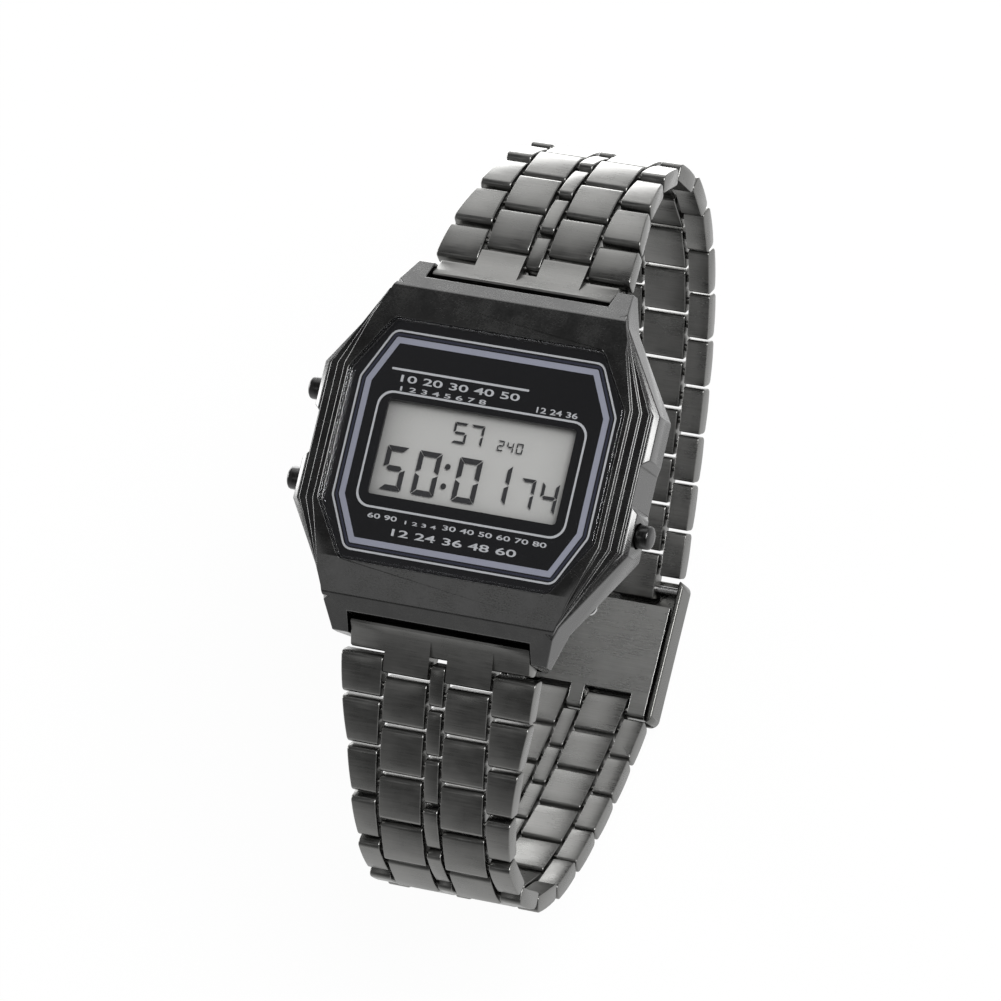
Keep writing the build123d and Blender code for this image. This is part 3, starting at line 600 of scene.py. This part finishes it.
def octagon(side: float, top: float, cut_x: float, cut_y: float) -> Outline:
    """A long octagon whose slanted sides run from its flanks to its ends.

    Args:
        side: Half its width.
        top: Half its height.
        cut_x: Where each end's straight side stops.
        cut_y: Where each flank's straight side stops.

    Returns:
        The outline.
    """
    slant = math.degrees(math.atan2(side - cut_x, top - cut_y))
    far = side * math.cos(math.radians(slant)) + cut_y * math.sin(math.radians(slant))
    return Outline(
        (0, slant, 90, 180 - slant, 180, 180 + slant, 270, 360 - slant),
        (side, far, top, far, side, far, top, far),
    )


def rectangle(x_low: float, x_high: float, y_low: float, y_high: float) -> Outline:
    """A rectangle as an outline."""
    half_x, half_y = (x_high - x_low) / 2, (y_high - y_low) / 2
    middle = ((x_low + x_high) / 2, (y_low + y_high) / 2)
    return Outline((0, 90, 180, 270), (half_x, half_y, half_x, half_y), middle)


DIAL_OCTAGON = octagon(side=11.1, top=8.87, cut_x=9.27, cut_y=5.18)
CRYSTAL_OCTAGON = octagon(side=13.15, top=11.0, cut_x=10.0, cut_y=6.0)


@dataclass
class Case:
    """The case, its crystal, back, buttons and what shows of them."""

    edge: float = 0.12
    flank_edge: float = 0.25
    flank_x: float = 15.5
    rim_z: Pair = (6.75, 7.1)
    rim_least: float = 1.0
    elsewhere: float = 0.4
    crystal_low: float = 7.12
    crystal_high: float = 8.0
    crystal_fit: float = 0.05
    crystal_corner: float = 1.0
    crystal_bevel: float = 0.14
    bevel_points: int = 4
    corner_points: int = 8
    border_z: Pair = (7.104, 7.116)
    border_grow: float = 1.3
    buttons: tuple[tuple[str, int, float], ...] = (
        ("light", -1, 4.0), ("mode", -1, -4.3), ("start", 1, -4.2),
    )
    button_z: float = 5.2
    button_points: int = 32
    button_profile: tuple[Pair, ...] = (
        (10.85, 0.0), (10.85, 0.4), (10.9, 0.45), (15.63, 0.45), (15.65, 0.9),
        (15.7, 1.0), (15.8, 1.05), (17.05, 1.05), (17.2, 1.0), (17.29, 0.88),
        (17.34, 0.6), (17.35, 0.3), (17.35, 0.0),
    )

    def build(self) -> None:
        """Make every piece of the case."""
        dressed_copy(
            "case_middle", "case", Finish.CASE, self.flank_edge, 4, self.flank_share
        )
        dressed_copy("case_back", "case", Finish.BACK, self.edge)
        self.border()
        self.crystal()
        for name, side, y in self.buttons:
            self.button(name, side, y)
            dress(Finish.BRIGHT, f"button_spring_{name}", f"button_clip_{name}")
        dress(Finish.BRIGHT, "back_screws", "spring_bars")
        dress(Finish.RUBBER, "back_gasket", "button_seals")

    def flank_share(self, middle: Vector, length: float) -> float:
        """How much of the widest softening an edge gets: all of it on the flanks' rims."""
        on_rim = abs(middle.x) / MM > self.flank_x and self.rim_z[0] < middle.z / MM < self.rim_z[1]
        return 1.0 if on_rim and length > self.rim_least * MM else self.elsewhere

    def crystal_edge(self, inset: float) -> np.ndarray:
        """The crystal's outline in plan, drawn in by an inset."""
        grow = -self.crystal_fit - inset
        return CRYSTAL_OCTAGON.points(grow, self.crystal_corner, self.corner_points)

    def border(self) -> None:
        """The black border under the crystal, from the dial out to the case."""
        inner = DIAL_OCTAGON.points(self.border_grow, self.crystal_corner, self.corner_points)
        bag = MeshBag()
        bag.frame(inner, self.crystal_edge(0.0), self.border_z)
        bag.piece("crystal_border", "case", [Finish.PANEL])

    def crystal(self) -> None:
        """The crystal: parallel octagons stacked up, with a rounded top edge."""
        insets, drops = rounding(self.crystal_bevel, self.bevel_points)
        levels = zip(np.append(0.0, insets), np.append(self.crystal_low, self.crystal_high - drops))
        rings = [at_height(self.crystal_edge(inset), z) for inset, z in levels]
        bag = MeshBag()
        bag.rings(np.stack(rings))
        bag.piece("crystal_plate", "case", [Finish.CRYSTAL], ["crystal"], smooth=50)

    def button(self, name: str, side: int, y: float) -> None:
        """A button: its profile turned round the stem, with a stepped collar.

        Args:
            name: The button's name.
            side: The side of the case that it stands on.
            y: Where it stands along the flank.
        """
        node, profile = f"button_{name}", np.array(self.button_profile) * (side, 1)
        bag = MeshBag()
        bag.rings(turned(profile, y, self.button_z, around(self.button_points)), capped=False)
        bag.piece(f"{node}_cap", node, [Finish.BUTTON], [node], smooth=40)


@dataclass(frozen=True)
class NumberRow:
    """A row of plain numbers: its text, its two ends, its foot and its height."""

    text: str
    low: float
    high: float
    foot: float
    height: float

    def mesh(self, name: str, z: float) -> bpy.types.Mesh:
        """The row as a flat mesh that fills its place.

        Args:
            name: The text's name.
            z: The height that it lies at.

        Returns:
            The mesh.
        """
        figure_share, swell = 0.7, 0.02
        curve = bpy.data.curves.new(name, "FONT")
        curve.body = self.text
        curve.size = self.height * MM / figure_share
        curve.offset = self.height * MM * swell
        flat = added(f"{name}_text", curve)
        bpy.context.view_layer.update()
        graph = bpy.context.evaluated_depsgraph_get()
        mesh = bpy.data.meshes.new_from_object(flat.evaluated_get(graph))
        bpy.data.objects.remove(flat)
        points = np.zeros((len(mesh.vertices), 3))
        mesh.vertices.foreach_get("co", points.reshape(-1))
        start, reach = (self.low, self.foot), (self.high - self.low, self.height)
        least, most = points[:, :2].min(0), points[:, :2].max(0)
        points[:, :2] = (start + reach * (points[:, :2] - least) / (most - least)) * MM
        points[:, 2] = z * MM
        mesh.vertices.foreach_set("co", points.reshape(-1))
        mesh.materials.clear()
        mesh.materials.append(Finish.LINE.material())
        mesh.update()
        return mesh


@dataclass(frozen=True)
class Figure:
    """A seven-segment figure: its lower left corner, its size and its segments' width."""

    digit: str
    x: float
    y: float
    wide: float
    high: float
    thick: float
    gap_share: float = 0.12
    mitre_share: float = 0.6

    def segments(self) -> list[np.ndarray]:
        """The outlines of its lit segments, with mitred ends and small gaps."""
        wide, high, thick = self.wide, self.high, self.thick
        gap = thick * self.gap_share
        inner = thick + gap
        mitre = inner * self.mitre_share
        middle, half = high / 2, thick / 2
        right, far = wide - inner, wide - thick
        shapes = {
            "a": [(gap, high), (wide - gap, high), (right, high - thick), (inner, high - thick)],
            "b": [(wide, high - gap), (wide, middle + gap), (far, middle + mitre),
                  (far, high - inner)],
            "c": [(wide, middle - gap), (wide, gap), (far, inner), (far, middle - mitre)],
            "d": [(inner, thick), (right, thick), (wide - gap, 0), (gap, 0)],
            "e": [(0, middle - gap), (thick, middle - mitre), (thick, inner), (0, gap)],
            "f": [(0, high - gap), (thick, high - inner), (thick, middle + mitre),
                  (0, middle + gap)],
            "g": [(mitre, middle), (inner, middle + half), (right, middle + half),
                  (wide - mitre, middle), (right, middle - half), (inner, middle - half)],
        }
        lit = {"0": "abcdef", "1": "bc", "2": "abged", "4": "fgbc", "5": "afgcd", "7": "abc"}
        return [np.array(shapes[name]) + (self.x, self.y) for name in lit[self.digit]]


@dataclass
class Dial:
    """The printed panel, its lines, and the display behind its window.

    Each line is the distance from the dial's octagon and corner radius of its
    inner edge, then those of its outer edge, then its material slot.
    """

    top: float = 7.1
    panel_low: float = 6.82
    panel_grow: float = 1.45
    panel_corner: float = 0.6
    corner_steps: int = 8
    small_steps: int = 2
    window: Box = (-9.05, 8.95, -4.8, 3.85)
    window_corner: float = 0.35
    ink: Pair = (0.001, 0.012)
    lines: tuple[tuple[float, float, float, float, int], ...] = (
        (0.0, 0.15, 0.55, 0.2, 0),
        (0.68, 0.3, 0.86, 0.3, 2),
        (1.02, 0.9, 1.2, 1.0, 1),
    )
    border: Box = (-9.9, 9.8, -5.85, 4.4)
    border_line: Triple = (1.3, 0.19, 1.4)
    bar: Box = (-9.45, 3.72, 6.46, 6.66)
    bar_corner: float = 0.05
    rows: tuple[NumberRow, ...] = (
        NumberRow("10 20 30 40 50", -8.4, 3.0, 5.47, 0.64),
        NumberRow("1 2 3 4 5 6 7 8", -8.25, 0.0, 4.67, 0.42),
        NumberRow("12 24 36", 4.8, 8.7, 4.76, 0.52),
        NumberRow("60 90", -8.5, -5.7, -6.93, 0.45),
        NumberRow("1 2 3 4", -4.9, -1.9, -7.0, 0.32),
        NumberRow("30 40 50 60 70 80", -1.3, 8.6, -6.93, 0.45),
        NumberRow("12 24 36 48 60", -5.9, 6.0, -8.22, 0.64),
    )
    sheet: Box = (-10.0, 10.0, -6.6, 5.7)
    sheet_corner: float = 0.1
    sheet_z: Pair = (5.05, 6.3)
    segment_z: float = 6.52
    figures: tuple[Figure, ...] = (
        Figure("5", -8.35, -4.15, 2.1, 4.0, 0.47),
        Figure("0", -5.28, -4.15, 2.2, 4.0, 0.47),
        Figure("0", -1.4, -4.15, 2.2, 4.0, 0.47),
        Figure("1", 1.45, -3.75, 2.2, 3.6, 0.4),
        Figure("7", 4.72, -3.8, 1.4, 2.75, 0.3),
        Figure("4", 6.75, -3.82, 1.6, 2.75, 0.3),
        Figure("5", -2.62, 0.98, 1.3, 1.9, 0.22),
        Figure("7", -1.05, 0.98, 1.3, 1.9, 0.22),
        Figure("2", 1.75, 0.95, 0.62, 0.95, 0.12),
        Figure("4", 2.65, 0.95, 0.62, 0.95, 0.12),
        Figure("0", 3.55, 0.95, 0.62, 0.95, 0.12),
    )
    dots: tuple[Pair, ...] = ((-2.37, -1.22), (-2.37, -2.99))
    dot_radius: float = 0.27
    dot_points: int = 16

    def build(self) -> None:
        """Make the panel, the print on it and the display, and dress the module."""
        self.panel()
        self.print_lines()
        for number, row in enumerate(self.rows):
            mesh = row.mesh(f"numbers_{number}", self.top + self.ink[1])
            carried(f"dial_numbers_{number}", mesh, "case")
        self.display()
        dress(Finish.BRIGHT, "lcd_reflector", "quartz_can", "battery", "battery_clip")
        dress(Finish.BLACK, "module_frame", "chip")
        dress(Finish.ZEBRA, "zebra_strips")
        dress(Finish.BOARD, "circuit_board")
        dress(Finish.LAMP, "lamp")
        dress(Finish.BRASS, "piezo_buzzer")

    def panel(self) -> None:
        """The black panel: its outer octagon joined to its window by flat rings."""
        outer = DIAL_OCTAGON.points(self.panel_grow, self.panel_corner, self.corner_steps)
        window = rectangle(*self.window).points(0.0, self.window_corner, 2 * self.corner_steps)
        bag = MeshBag()
        bag.frame(outer, window, (self.panel_low, self.top))
        bag.piece("dial_face", "case", [Finish.PANEL], ["dial_panel"], smooth=30)

    def print_lines(self) -> None:
        """The wide lavender band, the lines round it and the window's frame."""
        heights = (self.top + self.ink[0], self.top + self.ink[1])
        bag = MeshBag()
        for grow, corner, wider_grow, wider_corner, slot in self.lines:
            inner = DIAL_OCTAGON.points(grow, corner)
            bag.frame(inner, DIAL_OCTAGON.points(wider_grow, wider_corner), heights, slot)
        border, steps = rectangle(*self.border), self.corner_steps
        corner, wider_grow, wider_corner = self.border_line
        inner = border.points(0.0, corner, steps)
        bag.frame(inner, border.points(wider_grow, wider_corner, steps), heights, 1)
        bar = rectangle(*self.bar).points(0.0, self.bar_corner, self.small_steps)
        bag.plate(bar, heights[1], 1)
        bag.piece("dial_print", "case", [Finish.LAVENDER, Finish.LINE, Finish.SHADE])

    def display(self) -> None:
        """The display: a grey sheet, and dark figures a little above it."""
        sheet = rectangle(*self.sheet).points(0.0, self.sheet_corner, self.small_steps)
        bag = MeshBag()
        bag.rings(np.stack([at_height(sheet, z) for z in self.sheet_z]))
        bag.piece("display_sheet", "case", [Finish.DISPLAY], ["lcd_glass"], smooth=30)
        circle = arc(self.dot_radius, around(self.dot_points))
        figures = MeshBag()
        for figure in self.figures:
            for outline in figure.segments():
                figures.plate(outline, self.segment_z)
        for dot in self.dots:
            figures.plate(dot + circle, self.segment_z)
        figures.piece("display_figures", "case", [Finish.SEGMENT])


@dataclass(frozen=True)
class Half:
    """One half of the band, from its end piece to the clasp.

    first_y and first_before are where its first row's hinge is and how far
    that row's plates start before it. angles are how steeply each row goes
    down, in degrees.
    """

    hour: str
    side: int
    first_y: float
    first_before: float
    angles: tuple[int, ...]


@dataclass
class Bracelet:
    """The rows of the band, its end pieces and its clasp."""

    halves: tuple[Half, Half] = (
        Half(
            "12", 1, 18.05, 0.5, (20, 32, 46, 66, 92, 114, 131, 143, 151, 157, 161, 163, 165, 167)
        ),
        Half("6", -1, 18.65, 0.7, (24, 27, 31, 46, 68, 94, 117, 134, 142, 148, 152, 156)),
    )
    first_z: float = 3.0
    pitch: float = 4.5
    gap: float = 0.3
    half_thick: float = 0.85
    before: float = 1.125
    taper: tuple[float, ...] = (9.35, 9.0, 8.25, 7.7, 7.35)
    centre_x: float = 0.68
    inner_x: Pair = (0.95, 5.0)
    outer_low: float = 5.3
    outer_round: float = 0.42
    inner_round: float = 0.3
    round_points: int = 5
    flat_points: int = 5
    crown: float = 0.16
    side_round: float = 0.12
    side_points: int = 4
    pin: float = 0.35
    pin_tip: float = 0.8
    pin_chamfer: float = 0.07
    pin_inset: float = 0.35
    pin_points: int = 12
    clasp_edges: Triple = (0.15, 0.1, 0.06)

    def build(self) -> None:
        """Make every row, both end pieces and the clasp."""
        for half in self.halves:
            y, z = half.first_y, self.first_z
            for number, angle in enumerate(half.angles):
                self.row(half, number, y, z)
                y += self.pitch * math.cos(math.radians(angle))
                z -= self.pitch * math.sin(math.radians(angle))
            tongue = self.before - self.gap / 2
            side = -half.first_before - self.gap / 2
            EndPiece(half, self.first_z, self.half_thick, side, tongue).build()
        cover, lever, leaf = self.clasp_edges
        dressed_copy("clasp_cover", "clasp", Finish.CLASP, cover)
        dressed_copy("clasp_lever", "lever", Finish.INSIDE, lever)
        dressed_copy("clasp_leaf", "leaf", Finish.INSIDE, leaf)
        dress(Finish.BRIGHT, "clasp_pins")

    def profile(self, half_long: float, draw: float) -> np.ndarray:
        """The side profile of a plate: a rectangle whose corners are arcs.

        Along an arc the point is the corner's centre plus its radius times the
        cosine and sine of an angle that turns a quarter. The outer face then sinks
        by the crown times the square of the distance from its middle.

        Args:
            half_long: Half the plate's length along the band.
            draw: How far the profile is drawn in.

        Returns:
            Points as (along, out).
        """
        half_long, half_thick = half_long - draw, self.half_thick - draw
        outer, inner = self.outer_round - draw, self.inner_round - draw
        quarter = np.linspace(0, math.pi / 2, self.round_points)
        corners = ((outer, 1, 1), (outer, -1, 1), (inner, -1, -1), (inner, 1, -1))
        parts = []
        for turn, (radius, along, out) in enumerate(corners):
            angle = quarter + turn * math.pi / 2
            centre = (along * (half_long - radius), out * (half_thick - radius))
            parts.append(centre + arc(radius, angle))
            if along == out:
                flat = along * (np.linspace(1, -1, self.flat_points)[1:-1] * (half_long - radius))
                parts.append(np.stack([flat, np.full_like(flat, out * half_thick)], -1))
        points = np.concatenate(parts)
        top = points[:, 1] > 0
        points[top, 1] -= self.crown * (points[top, 0] / half_long) ** 2
        return points

    def plate(self, start: float, end: float, x_start: Pair, x_end: Pair) -> np.ndarray:
        """A plate as rings of its side profile, carried across the band.

        Near each side the profile is drawn in by a quarter circle, so the sides
        are rounded. They run straight from their place at the start to the end.

        Args:
            start: Where the plate begins along the row.
            end: Where it ends.
            x_start: Its two sides across the band at its start.
            x_end: Its two sides at its end.

        Returns:
            Rings of points as (x, along, out).
        """
        half = (end - start) / 2
        moves, draws = rounding(self.side_round, self.side_points)
        moves = moves / min(x_start[1] - x_start[0], x_end[1] - x_end[0])
        rounded = list(zip(draws, moves))
        rings = []
        for near, far, stations in ((0, 1, rounded), (1, 0, rounded[::-1])):
            for draw, move in stations:
                ring = self.profile(half, draw)
                share = (ring[:, 0] + half) / (2 * half)
                side = x_start[near] + (x_end[near] - x_start[near]) * share
                other = x_start[far] + (x_end[far] - x_start[far]) * share
                x = side + (other - side) * move
                rings.append(np.column_stack([x, ring[:, 0] + half + start, ring[:, 1]]))
        return np.stack(rings)

    def rod(self, along: float, half: float) -> np.ndarray:
        """A pin across the band as rings of points: a cylinder with chamfered ends.

        Args:
            along: Where it is along the row.
            half: Half its length.

        Returns:
            Rings of points as (x, along, out).
        """
        end = np.array([(half, self.pin * self.pin_tip), (half - self.pin_chamfer, self.pin)])
        profile = np.concatenate([end * (-1, 1), end[::-1]])
        return turned(profile, along, 0.0, around(self.pin_points))

    def row(self, half: Half, number: int, y: float, z: float) -> None:
        """One row: outer plates, the middle plate, inner plates and two pins.

        Args:
            half: The half of the band that it is in.
            number: Its number, counted from 0.
            y: How far its hinge is from the middle of the watch.
            z: The height of its hinge.
        """
        last = len(self.taper) - 1
        wide, narrow = self.taper[min(number, last)], self.taper[min(number + 1, last)]
        before = self.before if number else half.first_before
        back, front = -before + self.gap / 2, self.pitch - self.before - self.gap / 2
        low, high = self.before + self.gap / 2, self.pitch + self.before - self.gap / 2
        centre, inner = (-self.centre_x, self.centre_x), self.inner_x
        mirrored = (-inner[1], -inner[0])
        solids = [
            self.plate(back, front, (self.outer_low, wide), (self.outer_low, narrow)),
            self.plate(back, front, (-wide, -self.outer_low), (-narrow, -self.outer_low)),
            self.plate(back, front, centre, centre),
            self.plate(low, high, inner, inner),
            self.plate(low, high, mirrored, mirrored),
            self.rod(0.0, narrow - self.pin_inset),
            self.rod(self.pitch / 2, narrow - self.pin_inset),
        ]
        angle = math.radians(half.angles[number])
        bag = MeshBag()
        for rings in solids:
            along, out = rings[..., 1], rings[..., 2]
            across = half.side * (y + along * math.cos(angle) + out * math.sin(angle))
            height = z - along * math.sin(angle) + out * math.cos(angle)
            bag.rings(np.stack([rings[..., 0], across, height], -1))
        place = f"{half.hour}_{number + 1:02d}"
        node = f"link_{place}"
        bag.piece(f"row_{place}", node, [Finish.BAND], [node], smooth=40)


@dataclass(frozen=True)
class EndPiece:
    """An end piece: one profile across the band whose front steps in and out.

    The profile goes round the nose that meets the first row, the barrel round
    the spring bar, and the back that rises to the case. back gives each of its
    points, and how it moves where the profile is drawn in at the sides.
    """

    half: Half
    first_z: float
    half_thick: float
    side_front: float
    tongue: float
    notch_depth: float = 0.15
    slope: float = 12.0
    steps_x: Triple = (8.6, 5.15, 0.85)
    easing: tuple[Pair, ...] = ((0.0, 0.12), (0.04, 0.04), (0.12, 0.0))
    nose: tuple[Pair, ...] = (
        (-0.4, 1.0), (-0.12, 0.88), (0.0, 0.5), (0.0, -0.5), (-0.12, -0.88), (-0.4, -1.0),
    )
    bar: Pair = (15.7, 3.1)
    barrel: float = 1.1
    barrel_turn: tuple[float, ...] = (-60, -90, -130, -180, 150, 120)
    back: tuple[tuple[float, float, int, int], ...] = (
        (15.72, 4.6, 1, 0), (15.72, 5.1, 1, 0), (15.8, 5.3, 1, -1),
        (16.0, 5.25, 0, -1), (16.5, 4.72, 0, -1),
    )

    def profile(self, front: float, draw: float) -> np.ndarray:
        """The side profile as (y, z).

        Args:
            front: How far its front is from the first row's hinge.
            draw: How far it is drawn in.

        Returns:
            An array of points.
        """
        slope = math.radians(self.slope)
        nose = np.array(self.nose)
        along = front + nose[:, 0] - draw
        out = nose[:, 1] * self.half_thick - np.sign(nose[:, 1]) * draw
        y = self.half.first_y + along * math.cos(slope) + out * math.sin(slope)
        z = self.first_z - along * math.sin(slope) + out * math.cos(slope)
        barrel = self.bar + arc(self.barrel - draw, np.radians(self.barrel_turn))
        back = np.array(self.back)
        return np.concatenate([np.column_stack([y, z]), barrel, back[:, :2] + back[:, 2:] * draw])

    def build(self) -> None:
        """Make the piece: profiles side by side, drawn in at both sides."""
        side, tongue = self.side_front, self.tongue
        notch = side - self.notch_depth
        outer, arm, slot = self.steps_x
        left = [(-outer + shift, side, draw) for shift, draw in self.easing]
        left += [(-arm, side, 0), (-arm, tongue, 0), (-slot, tongue, 0), (-slot, notch, 0)]
        rings = []
        for x, front, draw in left + [(-x, front, draw) for x, front, draw in reversed(left)]:
            ring = self.profile(front, draw) * (self.half.side, 1)
            rings.append(np.column_stack([np.full(len(ring), x), ring]))
        node = f"end_piece_{self.half.hour}"
        bag = MeshBag()
        bag.rings(np.stack(rings))
        bag.piece(f"{node}_plate", "case", [Finish.BAND], [node], smooth=30)


@dataclass(frozen=True)
class Lamp:
    """A square lamp that faces the watch: its place, its side and its watts."""

    name: str
    place: Triple
    side: float
    power: float

    def build(self) -> None:
        """Put the lamp in the scene."""
        data = bpy.data.lights.new(self.name, "AREA")
        data.size = self.side * MM
        data.energy = self.power
        made = added(self.name, data)
        made.location = Vector(self.place) * MM
        made.rotation_euler = (-Vector(self.place)).to_track_quat("-Z", "Y").to_euler()


@dataclass
class Studio:
    """The camera, the lamps, the world and the floor.

    room is the world's grey at each height, from the horizon to overhead.
    behind is where a glow on the floor starts behind 12 o'clock, over what
    length it comes and goes, and where it starts to go.
    """

    eye: Triple = (259.03, -105.64, 648.93)
    right: Triple = (0.9169, 0.2258, -0.3292)
    down: Triple = (0.1593, -0.9631, -0.2168)
    away: Triple = (-0.366, 0.1463, -0.9191)
    focal_pixels: float = 7986.3
    image_pixels: float = 1001.0
    sensor: float = 36.0
    clip: Pair = (0.05, 20.0)
    lamps: tuple[Lamp, ...] = (
        Lamp("key", (300, 150, 498), 330, 3.5),
        Lamp("back", (-150, 435, 200), 300, 0.3),
        Lamp("horizon", (-180, 440, 0), 200, 0.15),
        Lamp("front", (-220, -157, 534), 150, 0.055),
        Lamp("left", (-490, 50, 75), 200, 1.3),
    )
    room: tuple[Pair, ...] = ((0.0, 1.0), (0.3, 0.8), (0.5, 0.35), (0.7, 0.2), (0.9, 0.1))
    lean: float = 0.45
    floor_z: float = -35.0
    floor_side: float = 3000.0
    floor_grain: float = 30.0
    floor_greys: Pair = (0.95, 0.98)
    floor_glow: float = 0.96
    behind: Triple = (10.0, 50.0, 110.0)
    behind_right: float = 12.0
    behind_gain: float = 5.5

    def build(self) -> None:
        """Make the camera, the lamps, the world and the floor."""
        self.camera()
        for lamp in self.lamps:
            lamp.build()
        self.world()
        self.floor()
        bpy.context.scene.view_settings.view_transform = "Standard"

    def camera(self) -> None:
        """The camera, at the photograph's place and angle."""
        data = bpy.data.cameras.new("camera")
        data.sensor_width = self.sensor
        data.lens = self.sensor * self.focal_pixels / self.image_pixels
        data.clip_start, data.clip_end = self.clip
        made = added("camera", data)
        axes = Matrix((Vector(self.right), -Vector(self.down), -Vector(self.away)))
        turn = axes.transposed().to_4x4()
        made.matrix_world = Matrix.Translation(Vector(self.eye) * MM) @ turn
        bpy.context.scene.camera = made

    def world(self) -> None:
        """A pale room: bright at the horizon, dim overhead, dimmer towards 12 and 6 o'clock."""
        shader = Shader("room", is_world=True)
        _, y, z = shader.split(shader.coordinates("Generated"))
        colour = shader.node("ShaderNodeValToRGB", {}, {0: z})
        stops = colour.socket.node.color_ramp.elements
        while len(stops) < len(self.room):
            stops.new(0.5)
        for stop, (height, shade) in zip(stops, self.room):
            stop.position, stop.color = height, rgba(grey(shade))
        lean = (1.0 - (y * y) ** 0.5 * self.lean).clamped()
        room = shader.node("ShaderNodeBackground", {}, {"Color": colour, "Strength": lean})
        white = shader.node("ShaderNodeBackground", {}, {"Color": rgba(grey(1))})
        seen = shader.node("ShaderNodeLightPath", out="Is Camera Ray")
        both = shader.node("ShaderNodeMixShader", {}, {0: seen, 1: room, 2: white})
        bpy.context.scene.world = shader.end(both)

    def floor(self) -> None:
        """A white floor that keeps a soft shadow, with a glow that metal reflects.

        The glow is the rise of y from behind's first place, times the rest of
        its rise from the last one, times the rest of the rise of x.
        """
        shader = Shader("floor_white")
        grain = shader.noise(self.floor_grain, 2.0)
        colour = shader.mix(grain, *map(grey, self.floor_greys))
        matte = shader.node("ShaderNodeBsdfDiffuse", {}, {"Color": colour})
        rays = shader.node("ShaderNodeLightPath", out="Is Camera Ray")
        glossy = Term(shader, rays.socket.node.outputs["Is Glossy Ray"])
        clear = Term(shader, rays.socket.node.outputs["Is Transmission Ray"])
        x, y, _ = shader.split(shader.coordinates("Object"))
        start, length, end = (place * MM for place in self.behind)
        near, far = ((y - start) / length).clamped(), ((y - end) / length).clamped()
        beside = (1.0 - x / (self.behind_right * MM)).clamped()
        strength = 1.0 + glossy * (near * (1.0 - far) * beside) * self.behind_gain
        inputs = {"Color": rgba(grey(1)), "Strength": strength}
        glow = shader.node("ShaderNodeEmission", {}, inputs)
        seen = (rays * self.floor_glow + glossy + clear * self.floor_glow).clamped()
        both = shader.node("ShaderNodeMixShader", {}, {0: seen, 1: matte, 2: glow})
        side, z = self.floor_side * MM, self.floor_z * MM
        corners = [(-side, -side, z), (side, -side, z), (side, side, z), (-side, side, z)]
        mesh = bpy.data.meshes.new("floor")
        mesh.from_pydata(corners, [], [(0, 1, 2, 3)])
        mesh.materials.append(shader.end(both))
        added("floor", mesh)


def main() -> None:
    """Build the watch piece by piece."""
    logging.basicConfig(level=logging.INFO, format="%(name)s: %(message)s")
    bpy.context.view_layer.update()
    Studio().build()
    Case().build()
    Dial().build()
    Bracelet().build()


if __name__ == "__main__":
    main()
